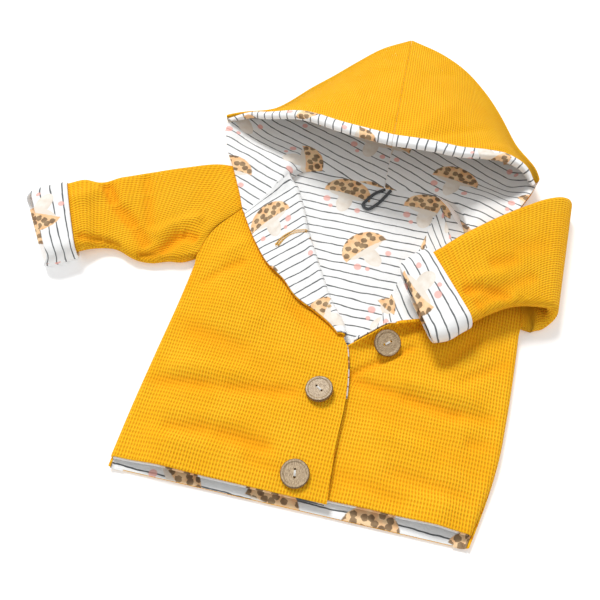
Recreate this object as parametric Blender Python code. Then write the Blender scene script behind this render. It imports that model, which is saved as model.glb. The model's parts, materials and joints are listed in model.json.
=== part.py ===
"""A baby's hooded jacket of yellow waffle knit with a striped jersey lining, laid flat on a table.

Blender 4.5, metres, +Z up. The origin lies under the middle of the back panel, on the table.
+Y runs from the hem to the hood, and -X is the side of the front that laps over.
Every cut piece of cloth is a closed wall: one face is worked out as a grid of points from the
sizes and tables below, and the other face is the same grid moved along its normals.
"""

import bpy
import numpy as np
from mathutils import Matrix, Vector

MM = 0.001

# ---------------------------------------------------------------- driving sizes, in millimetres
WAFFLE = 2.0  # thickness of the waffle knit
JERSEY = 1.0  # thickness of the lining
GAP = 0.3  # air between two pieces that are sewn or laid together
SEAM = 1.0  # plan gap at the armhole seams, whose two edges are curved differently
SIDE_RADIUS = 5.5  # half the height of the body at its side seams
SIDE_GAP = 0.28  # above and below the middle of a side seam
UNDERARM_Y = 46.0
ROLL_RADIUS = 0.8  # inner radius of the turned lapel
LAPEL_AIR = 1.2  # between the front and the lapel that lies on it
LAPEL_STRIP = 10.0  # width of the front's edge past its last straight column
LAPEL_TIP = 3.6  # the same where the lapel starts to turn
BREAK = 0.47  # share of the upper front's rows that lie flat, below the lapel
BACK_LIFT = WAFFLE + GAP + JERSEY  # height of the back's lining above the table
HOOD_RADIUS = 8.0  # fold at the hood's far outline
HOOD_CORNER_RADIUS = 4.5  # the same fold at the hood's two corners
CUFF_WALL = 2.4  # the turned-up end of a sleeve, lining and waffle together
BUTTON_RADIUS = 11.4
BUTTON_HEIGHT = 3.2
THREAD_HOLE = 1.1  # radius
THREAD_HOLE_OUT = 2.9  # from the button's middle
LOOP_RADIUS = 1.5

# Edges of the body in plan: each side seam up to the underarm, and each armhole. columns: x, y
SIDE_LEFT = ((-150, -157), (-149, -110), (-147, -60), (-144, 0), (-143, 46))
SIDE_RIGHT = ((134, -149), (140, -122), (146, -88), (149, -40), (150, 10), (150, 46))
ARMHOLE_LEFT = ((-143, 46), (-138, 74), (-121, 102), (-104, 128), (-94, 146))
ARMHOLE_RIGHT = ((150, 46), (145, 74), (132, 100), (120, 118), (110, 128))
BACK_NECK = (
    (-94, 146), (-80, 164), (-58, 175), (-30, 173), (4, 170), (26, 171), (50, 175), (67, 164), (84, 143), (110, 128),
)
BACK_HEM_Y = -153.0
# Neck seam of the hood, from a front's corner to the middle of the back.
# columns: x, y, height of the hood's lower face
NECK_LEFT = (
    (-113, 98, 12.6), (-98, 127, 12.6), (-90, 150, 12.4), (-80, 167, 7), (-58, 177, 1), (-30, 174.5, 0), (6.6, 171.5, 0),
)
NECK_RIGHT = (
    (99, 102, 15.6), (93, 130, 13), (78, 161, 8), (64, 173, 3), (50, 177, 0.6), (26, 172.8, 0), (6.6, 171.5, 0),
)
# Upper front, which laps over: its free edge, and then the line where it rolls and the lapel's edge
FRONT_EDGE_LEFT = ((24, -146), (20, -95), (19, -58), (13.2, -24), (7.6, -5))
ROLL_LEFT = ((4.0, -5), (-1.5, 8), (-11, 21), (-20, 34), (-32, 55), (-42, 73), (-55, 97), (-66, 122), (-78, 145))
LAPEL_EDGE_LEFT = ((0.6, -6), (-8, 2), (-24, 12), (-45, 22), (-60, 36), (-75, 46), (-94, 68), (-112, 95))
# Lower front: free edge, hidden up to the second button and then a raised rim. columns: x, y, height
FRONT_EDGE_RIGHT = (
    (-20, -142, 9.5), (-20, -58, 9.8), (-17, -38, 10), (-6, -23, 10), (6, -14, 11), (15, -8, 15.5),
    (26, 0, 21), (39, 11, 24), (54, 18, 22.5), (67, 24, 20), (85, 45, 17), (91, 68, 15), (93, 92, 13.5),
)
RIM_START = 12  # row of that front where the raised rim, and the lining behind it, start
# Crease in the neck opening where the lining of the lower front rises from the back's lining
CREASE_RIGHT = ((13, 2), (28, 16), (33, 36), (36, 53), (43, 80), (49, 96), (55, 124), (60, 148), (64, 160))
# Hood: front edge from its corner down to the neck seam, far outline, and rim. columns: x, y, height
HOOD_EDGE_LEFT = ((-160, 192, 13), (-152, 169, 14), (-140, 148, 15), (-124, 118, 13.5), (-113, 98, 12.6))
HOOD_EDGE_RIGHT = ((143, 184, 18), (129, 152, 16.5), (118, 128, 15.5), (99, 102, 15.6))
HOOD_FAR_LEFT = (
    (-165, 208), (-149, 219), (-120, 238), (-90, 277), (-73, 298), (-55, 322), (-32, 350), (-4, 371),
)
HOOD_FAR_RIGHT = (
    (148, 199), (143, 214), (135, 230), (119, 256), (103, 285), (83, 314), (55, 343), (33, 357), (-4, 371),
)
RIM_LEFT = ((-158, 201, 20.5), (-140, 205, 28.5), (-120, 200, 38), (-82, 193, 54), (-39, 178, 64), (-17, 174, 66), (7, 172, 66))
RIM_RIGHT = ((142, 189, 25.5), (132, 198, 33), (116, 199, 42), (92, 190, 52), (68, 181, 58), (42, 176, 64), (7, 172, 66))
# The rim's lining turned out over the hood, in steps from the inside. columns: its shown face, past
# the rim and above it, and its hidden face in the same way
RIM_TURN = (
    (1.7, -3.1, 0.6, -2.2), (2.9, -1.0, 0.8, -1.0), (2.0, 1.6, 0.6, 0.4),
    (-2.5, 2.5, -2.5, 0.5), (-7.0, 2.3, -7.0, 0.5), (-10.5, 1.4, -10.5, 0.4),
)

# Sleeves and cuffs are flat tubes. columns: x, y, z of a section's end nearest the hem, x, y, z of
# its other end, thickness, and the angle of its thickness from +Z towards +X in degrees
SLEEVE_LEFT = (
    (-154, 39, 6.2, -112, 150, 6.2, 12.4, 0),
    (-168, 35, 7, -150, 154, 6.6, 13.2, 0),
    (-184, 29, 7.5, -186, 140, 7.5, 15, 0),
    (-198, 29, 7.5, -212, 127, 8.2, 15, 0),
    (-220, 35, 8, -240, 112, 9, 16, 0),
    (-236, 31, 9, -262, 100, 9.8, 17, 0),
    (-246, 24, 12.4, -283, 89, 13.2, 18, 0),
    (-260, 15, 12.5, -301, 76, 13.2, 18, 0),
    (-270, 7, 12, -316, 64, 12.6, 17, 0),
)
SLEEVE_RIGHT = (
    (157, 45, 6, 128, 146, 6, 12, 0),
    (163, 47, 6, 154, 184, 6.5, 11, 8),
    (169, 51, 6.5, 169, 188, 7, 10.5, 30),
    (172, 55, 9.5, 174.5, 188, 10, 10, 60),
    (173.5, 58, 14.5, 176.5, 186, 15.5, 10, 90),
    (172, 60, 20.5, 174, 184, 22, 10, 120),
    (168, 60, 25, 168, 180, 27, 10.5, 150),
    (160, 58, 28, 156, 172, 30.5, 11.5, 172),
    (148, 55, 29.5, 138, 158, 32, 13, 180),
    (136, 50, 30.5, 118, 141, 33, 14, 180),
    (122, 40, 31.5, 96, 120, 33.5, 15, 180),
    (110, 29, 32.5, 74, 97, 34, 15, 180),
    (100, 19, 33.4, 62, 83, 34.4, 14.5, 180),
    (88, 8, 33, 50, 70, 33.5, 14, 180),
)
CUFF_LEFT = (
    (-246.5, 16.5, 12.6, -286, 90, 13.6, 25, 0),
    (-254, 11, 12.6, -298, 83.5, 13.4, 25, 0),
    (-264, 4, 12.4, -311, 75.5, 13, 24, 0),
    (-274, -0.5, 12, -322, 67, 12.5, 22.5, 0),
)
CUFF_RIGHT = (
    (107, 21.5, 33.6, 57, 86, 34.8, 22, 180),
    (99, 13.5, 33.6, 49.5, 80, 34.6, 22, 180),
    (90, 4.5, 33.4, 43, 73, 34.2, 21, 180),
    (79, -0.5, 33.2, 38, 64, 33.8, 20, 180),
)
# Buttons. columns: x, y, lean towards +X and +Y, turn in degrees, and height of the lower front
# under it, or 0 on the upper front
BUTTONS = (
    (-5, -130, 0.0, -0.06, 100, 0),
    (-3.5, -58, -0.14, 0.05, 75, 0),
    (42, -4, 0.28, -0.42, 8, 18.05),
    (107, 52, 0.0, 0.0, 40, 14.1),
)
# Hanger loop: middle of the cord, lying on the back's lining. columns: x, y
LOOP = ((8, 166.5), (0, 160), (-6, 151), (-9, 142), (-4.5, 139.2), (3, 146), (9, 157), (13.5, 167))
# Soft folds of the fronts. columns: x, y of each end, height, half width
FOLDS_LEFT = ((-148, -20, -30, -62, -1.3, 13), (-120, -95, -30, -118, -1.1, 12), (-135, 10, -70, -20, 1.2, 14))
FOLDS_RIGHT = ((34, -52, 140, -96, -1.3, 14), (64, -22, 140, -34, 1.2, 14), (50, -122, 125, -118, -0.9, 12))

YELLOW = (0.93, 0.47, 0.02, 1.0)
STRIPED_LINING = (0.90, 0.90, 0.88, 1.0)
LOOP_GREY = (0.06, 0.07, 0.08, 1.0)
COCONUT = (0.42, 0.31, 0.20, 1.0)


# ---------------------------------------------------------------- curves and heights


def along(rows, share):
    """Points at the given shares of the length of a smooth curve through the rows (cubic Hermite)."""
    rows = np.asarray(rows, float)
    chord = np.r_[0, np.cumsum(np.linalg.norm(np.diff(rows, axis=0), axis=1))]
    chord /= chord[-1]
    slope = np.gradient(rows, chord, axis=0)
    share = np.clip(np.asarray(share, float), 0, 1)
    low = np.clip(np.searchsorted(chord, share, side="right") - 1, 0, len(rows) - 2)
    span = (chord[low + 1] - chord[low])[..., None]
    w = (share - chord[low])[..., None] / span
    start = rows[low] * (1 + 2 * w) + slope[low] * span * w
    end = rows[low + 1] * (3 - 2 * w) - slope[low + 1] * span * (1 - w)
    return start * (1 - w) ** 2 + end * w**2


def smooth(low, high, value):
    """0 at low, 1 at high, and an even S between them; low may be the larger."""
    w = np.clip((value - low) / (high - low), 0, 1)
    return w * w * (3 - 2 * w)


def mix(a, b, w):
    """The blend of a and b: a where w is 0, b where it is 1."""
    return a + (b - a) * w


def unit(v):
    """Vectors along the last axis, scaled to length 1."""
    return v / np.maximum(np.linalg.norm(v, axis=-1, keepdims=True), 1e-9)


def apart(grid, line):
    """Distance in plan of each point of a grid from its own row's point on a line."""
    return np.linalg.norm(grid[..., :2] - line[:, None, :2], axis=2)


def fold(x, y, row):
    """Height of a soft fold: a bell across the row's segment, fading out at its two ends."""
    x0, y0, x1, y1, height, half_width = row
    length = np.hypot(x1 - x0, y1 - y0)
    run = ((x - x0) * (x1 - x0) + (y - y0) * (y1 - y0)) / length**2
    side = ((x - x0) * (y1 - y0) - (y - y0) * (x1 - x0)) / length
    ends = smooth(-0.12, 0.18, run) * smooth(1.12, 0.82, run)
    return height * np.exp(-((side / half_width) ** 2)) * ends


def curve_x(rows, y):
    """x of a plan curve at each y."""
    points = along(rows, np.linspace(0, 1, 80))
    order = np.argsort(points[:, 1])
    return np.interp(y, points[order, 1], points[order, 0])


def left_height(x, y):
    """Outer face of the upper front: crowned in the middle, sunk towards the lapel's roll line."""
    crown = 2 * SIDE_RADIUS + 4.2 * smooth(-150, -100, x) * smooth(95, 40, y)
    crown = crown + sum(fold(x, y, row) for row in FOLDS_LEFT)
    crown = crown - 2.6 * smooth(105, 146, y) - 2.0 * smooth(-120, -150, y)
    near_roll = smooth(50, 3, curve_x(ROLL_LEFT, y) - x) * smooth(-14, 26, y)
    return mix(crown, BACK_LIFT + GAP + JERSEY + GAP + WAFFLE + 0.6, near_roll)


def right_height(x, y):
    """Outer face of the lower front: crowned, and low where the upper front laps over it."""
    crown = 2 * SIDE_RADIUS + 3.6 * smooth(150, 105, x) * smooth(80, 30, y)
    crown = crown + sum(fold(x, y, row) for row in FOLDS_RIGHT)
    crown = crown - 2.0 * smooth(-120, -150, y)
    return mix(crown, 9.6, smooth(62, 20, x) * smooth(30, -20, y))


# ---------------------------------------------------------------- walls


def normals(grid, ring=False):
    """Unit normals of a grid [row, column]: the cross product of its slopes along both ways."""
    if ring:
        across = np.roll(grid, -1, axis=1) - np.roll(grid, 1, axis=1)
    else:
        across = np.gradient(grid, axis=1)
    return unit(np.cross(across, np.gradient(grid, axis=0)))


def material(name, colour, roughness):
    made = bpy.data.materials.new(name)
    made.use_nodes = True
    shader = made.node_tree.nodes["Principled BSDF"]
    shader.inputs["Base Color"].default_value = colour
    shader.inputs["Roughness"].default_value = roughness
    return made


def solid(name, points, faces, finish):
    """A mesh object in metres from points in millimetres, with its faces turned to point outwards."""
    points = np.asarray(points, float) * MM
    faces = np.asarray(faces)
    corner = points[faces]
    if np.einsum("ij,ij->i", corner[:, 0], np.cross(corner[:, 1], corner[:, 2])).sum() < 0:
        faces = faces[:, ::-1]
    mesh = bpy.data.meshes.new(name)
    mesh.from_pydata(points.tolist(), [], faces.tolist())
    made = bpy.data.objects.new(name, mesh)
    bpy.context.scene.collection.objects.link(made)
    mesh.materials.append(finish)
    mesh.shade_smooth()
    return made


def strip_faces(first, second):
    """Two triangles for each step between two equally long lines of vertex numbers."""
    a, b, c, d = first[:-1], first[1:], second[1:], second[:-1]
    return np.concatenate([np.column_stack([a, b, c]), np.column_stack([a, c, d])])


def between(name, face, back, finish, ring=False):
    """A closed wall between two grids of the same size, joined by strips along their borders."""
    rows, columns = face.shape[:2]
    number = np.arange(rows * columns).reshape(rows, columns)
    if ring:
        number = np.hstack([number, number[:, :1]])
    under = number + rows * columns
    faces = [strip_faces(number[r], number[r + 1]) for r in range(rows - 1)]
    faces += [strip_faces(under[r], under[r + 1])[:, ::-1] for r in range(rows - 1)]
    faces += [strip_faces(under[0], number[0]), strip_faces(number[-1], under[-1])]
    if not ring:
        faces += [strip_faces(number[:, 0], under[:, 0]), strip_faces(under[:, -1], number[:, -1])]
    return solid(name, np.vstack([face.reshape(-1, 3), back.reshape(-1, 3)]), np.vstack(faces), finish)


def wall(name, grid, near, far, finish, part=np.s_[:, :], ring=False):
    """A wall between the grid moved by near and by far along its normals, or a part of that grid."""
    normal = normals(grid, ring)
    return between(name, (grid + normal * near)[part], (grid + normal * far)[part], finish, ring)


# ---------------------------------------------------------------- body


def body_edge(side, armhole, rows):
    """Plan points up one edge of the body: three fifths on the side seam, the rest on the armhole."""
    lower = round(rows * 0.6)
    seam = along(side, np.linspace(0, 1, lower))
    return np.vstack([seam, along(armhole, np.linspace(0, 1, rows - lower + 1))[1:]])


def from_side_seam(edge, inner, columns, sign):
    """Rows that leave the side seam in a quarter turn and then run straight to the inner line.

    edge and inner are plan points, one for each row. sign is 1 for a front, above the seam, and -1
    for the back, below it. Towards the underarm the turn fades, so the armhole edge lies flat.
    """
    steps = np.array((0, 0.08, 0.36, 0.68, 1))
    turn = len(steps)
    faded = smooth(UNDERARM_Y - 14, UNDERARM_Y, edge[:, 1])[:, None]
    angle = np.pi / 2 * mix(faded, 1, steps)
    reach = SIDE_RADIUS * (np.cos(np.pi / 2 * faded) - np.cos(angle)) + 3 * faded * steps
    width = np.linalg.norm(inner - edge, axis=1)[:, None]
    straight = np.linspace(0, 1, columns - turn + 1)[1:]
    distance = np.hstack([reach, mix(reach[:, -1:], width, straight)])
    plan = edge[:, None] + unit(inner - edge)[:, None] * distance[..., None]
    lift = np.hstack([np.sin(angle), np.ones((len(edge), columns - turn))])
    return np.dstack([plan, SIDE_RADIUS * (1 + sign * lift) + sign * SIDE_GAP * (1 - lift)])


def back_grid(rows, columns):
    """Lower face of the back: flat on the table and turned up at both side seams."""
    share = np.linspace(0, 1, rows)
    left = body_edge(SIDE_LEFT, ARMHOLE_LEFT, rows)
    right = body_edge(SIDE_RIGHT, ARMHOLE_RIGHT, rows)
    middle = (left + right) / 2
    middle[:, 1] += (BACK_HEM_Y - middle[0, 1]) * smooth(0.3, 0, share)
    half = columns // 2 + 1
    grid_a = from_side_seam(left, middle, half, -1)
    grid_b = from_side_seam(right, middle, half, -1)
    grid = np.hstack([grid_a, grid_b[:, -2::-1]])
    neck = along(BACK_NECK, np.linspace(0, 1, 60))
    top = np.interp(grid[-1, :, 0], neck[:, 0], neck[:, 1])
    grid[..., 1] += (top - grid[-1, :, 1]) * smooth(0.6, 1, share)[:, None]
    return grid


def front_right_grid(rows, columns):
    """Outer face of the lower front, from its side seam to its free edge, a raised rim above."""
    share = np.linspace(0, 1, rows)
    edge = body_edge(SIDE_RIGHT, ARMHOLE_RIGHT, rows)
    edge[:, 1] += 9 * smooth(0.3, 0, share)
    free = along(FRONT_EDGE_RIGHT, share)
    grid = from_side_seam(edge, free[:, :2], columns, 1)
    x, y, height = np.moveaxis(grid, 2, 0)
    crown = right_height(x, y) - 2 * SIDE_RADIUS
    height = height + crown * smooth(0, 30, apart(grid, edge))
    grid[..., 2] = mix(height, free[:, 2:], smooth(26, 0, apart(grid, free)) ** 1.3)
    return grid


def front_left_grid(rows, columns, flap):
    """Outer face of the upper front: flat to its edge below, and rolled into a lapel above.

    Each row runs from the side seam to the roll line, round the roll, and back over the front. The
    angle of the roll grows from nothing at the break to a half turn, and there the lapel lies down.
    """
    share = np.linspace(0, 1, rows)
    above = np.clip((share - BREAK) / (1 - BREAK), 0, 1) ** 1.35
    flat = (share < BREAK)[:, None]
    edge = body_edge(SIDE_LEFT, ARMHOLE_LEFT, rows)
    edge[:, 1] += 7 * smooth(0.3, 0, share)
    low = along(FRONT_EDGE_LEFT, share / BREAK)
    strip = mix(LAPEL_STRIP, LAPEL_TIP, smooth(0.6 * BREAK, BREAK, share))[:, None]
    roll = np.where(flat, low - strip * (1, 0), along(ROLL_LEFT, above))
    lapel_edge = np.where(flat, roll - strip * (1, 0), along(LAPEL_EDGE_LEFT, above))
    turn = np.pi * smooth(0.0, 0.16, above)[:, None]
    grid = from_side_seam(edge, roll, columns, 1)
    crown = left_height(grid[..., 0], grid[..., 1]) - 2 * SIDE_RADIUS
    grid[..., 2] += crown * mix(smooth(0, 30, apart(grid, edge)), 1, smooth(95, 120, edge[:, 1:]))
    # Past the roll line: first an arc of constant length, then the straight flap.
    arc = np.pi * ROLL_RADIUS
    steps = np.linspace(0, 1, 5)[1:]
    run = arc * steps * np.sinc(turn * steps / np.pi)
    rise = arc * steps * turn * steps / 2 * np.sinc(turn * steps / 2 / np.pi) ** 2
    home = np.linalg.norm(lapel_edge - roll, axis=1)[:, None]
    reach = np.maximum(home, LAPEL_TIP) - arc * np.cos(turn / 2) ** 2
    steps = np.linspace(0, 1, flap + 1)[1:]
    run = np.hstack([run, run[:, -1:] + np.cos(turn) * reach * steps])
    rise = np.hstack([rise, rise[:, -1:] + np.sin(turn) * reach * steps])
    away = unit(mix(unit(roll - edge), unit(roll - lapel_edge), turn / np.pi))
    turned = roll[:, None] + away[:, None] * run[..., None]
    under = left_height(turned[..., 0], turned[..., 1])
    hinge = left_height(roll[:, 0], roll[:, 1])[:, None]
    lying = under + np.minimum(rise, 2 * ROLL_RADIUS) + (LAPEL_AIR - ROLL_RADIUS) * smooth(0, 12, -run)
    settled = np.maximum(smooth(0.75, 1.0, turn / np.pi), smooth(0.15, 0.0, turn / np.pi))
    top = mix(hinge + rise, lying, settled)
    return np.hstack([grid, np.dstack([turned, top])])


def rim_lining_grid(front, columns):
    """Visible face of the lower front's lining: down behind the raised rim and on to the crease."""
    rim = front[RIM_START:, -1]
    inner = (front + normals(front) * WAFFLE)[RIM_START:, -1]
    share = np.linspace(0, 1, len(rim))
    heading = unit(np.gradient(rim[:, :2], axis=0))
    inwards = np.column_stack([-heading[:, 1], heading[:, 0]])
    wall_end = np.maximum(np.sum((inner - rim)[:, :2] * inwards, axis=1, keepdims=True), 0)
    start = rim[:, :2] + inwards * (wall_end + 6 * GAP + JERSEY)
    crease = along(CREASE_RIGHT, share)
    w = np.linspace(0, 1, columns) ** 1.5
    plan = mix(start[:, None], crease[:, None], w[:, None])
    low = BACK_LIFT + GAP + JERSEY
    steep = mix(7.0, 1.7, smooth(0.15, 0.6, share))[:, None]
    height = low + (rim[:, 2:] - 1.2 - low) * (1 - w) ** steep
    return np.dstack([plan, height])


# ---------------------------------------------------------------- hood


def hood_grid(edge, neck, far, rim, clear, side, rows, columns):
    """Outer face of one half of the hood; each row is a loop from the neck round to the rim.

    A row starts on the front edge or the neck seam, runs back on the table, turns over at the far
    outline and returns to the rim. clear is the pair of y between which the lower sheet comes down
    from what it covers to the table. side is -1 or 1, and the last row is the middle seam.
    """
    share = np.linspace(0, 1, rows)
    start = np.maximum(along(edge + neck[1:], share), (-1000, -1000, 0))
    end = along(rim, share)
    outline = along(far, share)
    radius = mix(HOOD_CORNER_RADIUS, HOOD_RADIUS, smooth(0, 0.3, share))[:, None]
    axis = mix(start[0, 2] + HOOD_CORNER_RADIUS, HOOD_RADIUS, smooth(0, 0.25, share))[:, None]
    back = unit(outline - (start + end)[:, :2] / 2)
    turn_at = outline - back * radius
    lower, turn = columns
    w = np.linspace(0, 1, lower)
    plan = mix(start[:, None, :2], turn_at[:, None], w[:, None])
    begin = np.maximum(start[:, 1], clear[0])[:, None]
    down = smooth(begin, clear[1], plan[..., 1])
    sheet = np.dstack([plan, mix(start[:, 2:], axis - radius, np.maximum(down, smooth(0.7, 1, w)))])
    angle = np.linspace(-90, 90, turn + 1)[1:] * np.pi / 180
    plan = turn_at[:, None] + back[:, None] * radius[..., None] * np.cos(angle)[:, None]
    bend = np.dstack([plan, axis + radius * np.sin(angle)])
    plan = mix(turn_at[:, None], end[:, None, :2], w[1:, None])
    top = axis + radius
    height = mix(top, end[:, 2:], w[1:] ** 1.25) + 0.12 * (end[:, 2:] - top) * np.sin(np.pi * w[1:])
    crown = np.dstack([plan, height])
    grid = np.hstack([sheet, bend, crown])
    grid[..., 0] += side * (GAP + 0.1) / 2 * share[:, None] ** 6
    return grid


def hood_half(name, outer, side, knit, jersey):
    """One half of the hood with its lining, which turns out over the rim as a puffy band."""
    normal = normals(outer)
    seam = outer[-1, :, 1].argmax()
    along_seam = unit(outer[-1, seam] - outer[-1, 0]) * (1, 1, 0)
    across = unit(np.array((along_seam[1], -along_seam[0], 0)))
    normal[-1] = unit(normal[-1] - across * (normal[-1] @ across)[:, None])
    normal = -side * normal
    between(name, outer, outer - normal * WAFFLE, knit)
    hidden = outer - normal * (WAFFLE + GAP)
    shown = outer - normal * (WAFFLE + GAP + JERSEY)
    forward = unit(outer[:, -1] - outer[:, -2])
    up = normal[:, -1]
    size = mix(0.3, 1.0, smooth(0, 0.2, np.linspace(0, 1, len(outer))))[:, None]
    turn = [outer[:, -1] + forward * row[0] * size + up * row[1] for row in RIM_TURN]
    under = [outer[:, -1] + forward * row[2] * size + up * row[3] for row in RIM_TURN]
    shown = np.hstack([shown, np.stack(turn, axis=1)])
    hidden = np.hstack([hidden, np.stack(under, axis=1)])
    between(name + "_lining", shown, hidden, jersey)


# ---------------------------------------------------------------- sleeves and cuffs


def flat_section(half_width, half_height, flat=5, end=5):
    """A flat oval as pairs (across, up): straight above and below, half round at both ends."""
    spread = np.linspace(-1, 1, flat + 2)[1:-1]
    angle = np.linspace(-90, 90, end) * np.pi / 180
    inner = half_width - half_height
    right = np.column_stack([inner + half_height * np.cos(angle), half_height * np.sin(angle)])
    top = np.column_stack([-spread * inner, np.full(flat, half_height) * (1 + 0.14 * (1 - spread**2))])
    bottom = np.column_stack([spread * inner, np.full(flat, -half_height)])
    return np.vstack([right, top, -right, bottom])


def tube_grid(rows, first=None):
    """Sections of a flat tube, one for each row of a table, as a grid that closes on itself."""
    sections = []
    for x0, y0, z0, x1, y1, z1, thickness, lean in rows:
        low, high = np.array((x0, y0, z0)), np.array((x1, y1, z1))
        across = unit(high - low)
        up = np.array((-np.sin(np.radians(lean)), 0, np.cos(np.radians(lean))))
        up = unit(up - across * (up @ across))
        pairs = flat_section(np.linalg.norm(high - low) / 2, thickness / 2)
        sections.append((low + high) / 2 + pairs[:, :1] * across + pairs[:, 1:] * up)
    grid = np.stack(sections)
    return grid if first is None else np.concatenate([first[None], grid])


def armhole_section(armhole, shift, height):
    """First section of a sleeve: its upper and lower edges both follow the armhole in plan."""
    rows = np.asarray(armhole, float)
    length = np.linalg.norm(rows[-1] - rows[0])
    pairs = flat_section(length / 2, height / 2)
    pairs[:, 1] = np.clip(pairs[:, 1], -height / 2, height / 2)
    share = pairs[:, 0] / length + 0.5
    plan = along(rows, share) + (shift, 0)
    flatter = 1 - 0.24 * smooth(0.6, 1.0, share)
    return np.column_stack([plan, (pairs[:, 1] + height / 2) * flatter])


# ---------------------------------------------------------------- fastenings


def button(name, x, y, lean, turn, height, finish):
    """A coconut button: a bevelled disc with two thread holes, square to its leaning normal."""
    bpy.ops.mesh.primitive_cylinder_add(
        vertices=28, radius=BUTTON_RADIUS * MM, depth=BUTTON_HEIGHT * MM
    )
    made = bpy.context.object
    made.name = name
    bevel = made.modifiers.new("edge", "BEVEL")
    bevel.width = 0.8 * MM
    bevel.segments = 2
    up = Vector((*lean, 1)).normalized()
    place = Matrix.Translation(Vector((x, y, height)) * MM) @ up.to_track_quat("Z", "Y").to_matrix().to_4x4()
    place = place @ Matrix.Rotation(np.radians(turn), 4, "Z")
    for side in (-1, 1):
        bpy.ops.mesh.primitive_cylinder_add(
            vertices=8, radius=THREAD_HOLE * MM, depth=3 * BUTTON_HEIGHT * MM
        )
        cutter = bpy.context.object
        cutter.name = f"{name}_hole_{side}"
        cutter.matrix_world = place @ Matrix.Translation((side * THREAD_HOLE_OUT * MM, 0, 0))
        cutter.hide_render = True
        cutter.display_type = "WIRE"
        cut = made.modifiers.new("thread hole", "BOOLEAN")
        cut.object = cutter
    made.matrix_world = place
    made.data.materials.append(finish)
    made.data.shade_smooth()
    return made


def loop(name, height, finish):
    """The hanger loop: a round cord bent double, lying on the lining."""
    points = np.column_stack([along(LOOP, np.linspace(0, 1, 22)), np.full(22, height)]) * MM
    curve = bpy.data.curves.new(name, "CURVE")
    curve.dimensions = "3D"
    curve.bevel_depth = LOOP_RADIUS * MM
    curve.bevel_resolution = 1
    curve.use_fill_caps = True
    spline = curve.splines.new("POLY")
    spline.points.add(len(points) - 1)
    spline.points.foreach_set("co", np.column_stack([points, np.ones(22)]).ravel())
    made = bpy.data.objects.new(name, curve)
    bpy.context.scene.collection.objects.link(made)
    curve.materials.append(finish)
    return made


# ---------------------------------------------------------------- the jacket


def build():
    for item in list(bpy.data.objects):
        bpy.data.objects.remove(item, do_unlink=True)
    knit = material("waffle knit", YELLOW, 0.9)
    jersey = material("striped jersey", STRIPED_LINING, 0.85)
    cord = material("loop cord", LOOP_GREY, 0.9)
    shell = material("coconut shell", COCONUT, 0.5)

    lining_near, lining_far = WAFFLE + GAP, WAFFLE + GAP + JERSEY

    back = back_grid(15, 19)
    wall("back", back, 0, WAFFLE, knit)
    wall("back_lining", back, lining_near, lining_far, jersey, part=np.s_[:, 4:-4])

    columns, rows = 13, 26
    flap = np.s_[round(rows * BREAK) + 1 :, columns - 2 :]
    front = front_left_grid(rows, columns, 6)
    wall("front_left", front, 0, -WAFFLE, knit)
    wall("front_left_lining", front, -lining_near, -lining_far, jersey, part=flap)
    front = front_right_grid(24, 15)
    wall("front_right", front, 0, WAFFLE, knit)
    wall("front_right_lining", rim_lining_grid(front, 9), 0, JERSEY, jersey)

    for name, edge, neck, far, rim, clear, side in (
        ("hood_left", HOOD_EDGE_LEFT, NECK_LEFT, HOOD_FAR_LEFT, RIM_LEFT, (158, 208), -1),
        ("hood_right", HOOD_EDGE_RIGHT, NECK_RIGHT, HOOD_FAR_RIGHT, RIM_RIGHT, (160, 204), 1),
    ):
        outer = hood_grid(edge, neck, far, rim, clear, side, 16, (8, 5))
        hood_half(name, outer, side, knit, jersey)

    for name, table, armhole, shift in (
        ("sleeve_left", SLEEVE_LEFT, ARMHOLE_LEFT, -SEAM),
        ("sleeve_right", SLEEVE_RIGHT, ARMHOLE_RIGHT, SEAM),
    ):
        first = armhole_section(armhole, shift, 11.6)
        wall(name, tube_grid(table, first), 0, -WAFFLE * shift / SEAM, knit, ring=True)
    wall("cuff_left", tube_grid(CUFF_LEFT), 0, CUFF_WALL, jersey, ring=True)
    wall("cuff_right", tube_grid(CUFF_RIGHT), 0, -CUFF_WALL, jersey, ring=True)

    loop("hanger_loop", BACK_LIFT + GAP + LOOP_RADIUS, cord)
    for number, (x, y, lean_x, lean_y, turn, below) in enumerate(BUTTONS, start=1):
        seat = below or float(left_height(np.array([x]), np.array([y]))[0])
        lift = GAP + BUTTON_HEIGHT / 2 + (0 if below else BUTTON_RADIUS * np.hypot(lean_x, lean_y))
        button(f"button_{number}", x, y, (lean_x, lean_y), turn, seat + lift, shell)


build()
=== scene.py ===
# %% [markdown]
# # A baby's hooded jacket in waffle knit, laid flat
#
# The jacket lies on its back on a white table. Its outside is yellow waffle knit and its lining is
# a white jersey with thin wavy stripes. The packed CAD model gives every cut piece its place, so
# this script only has to give each of them a real cloth surface: soft edges, creases, a knitted
# texture, stripes, stitches and thread. Blender works in metres, and the tables below are in
# millimetres, so each mesh is scaled by 0.001 when it is made.

# %% Load the packed frame
import json

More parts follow.
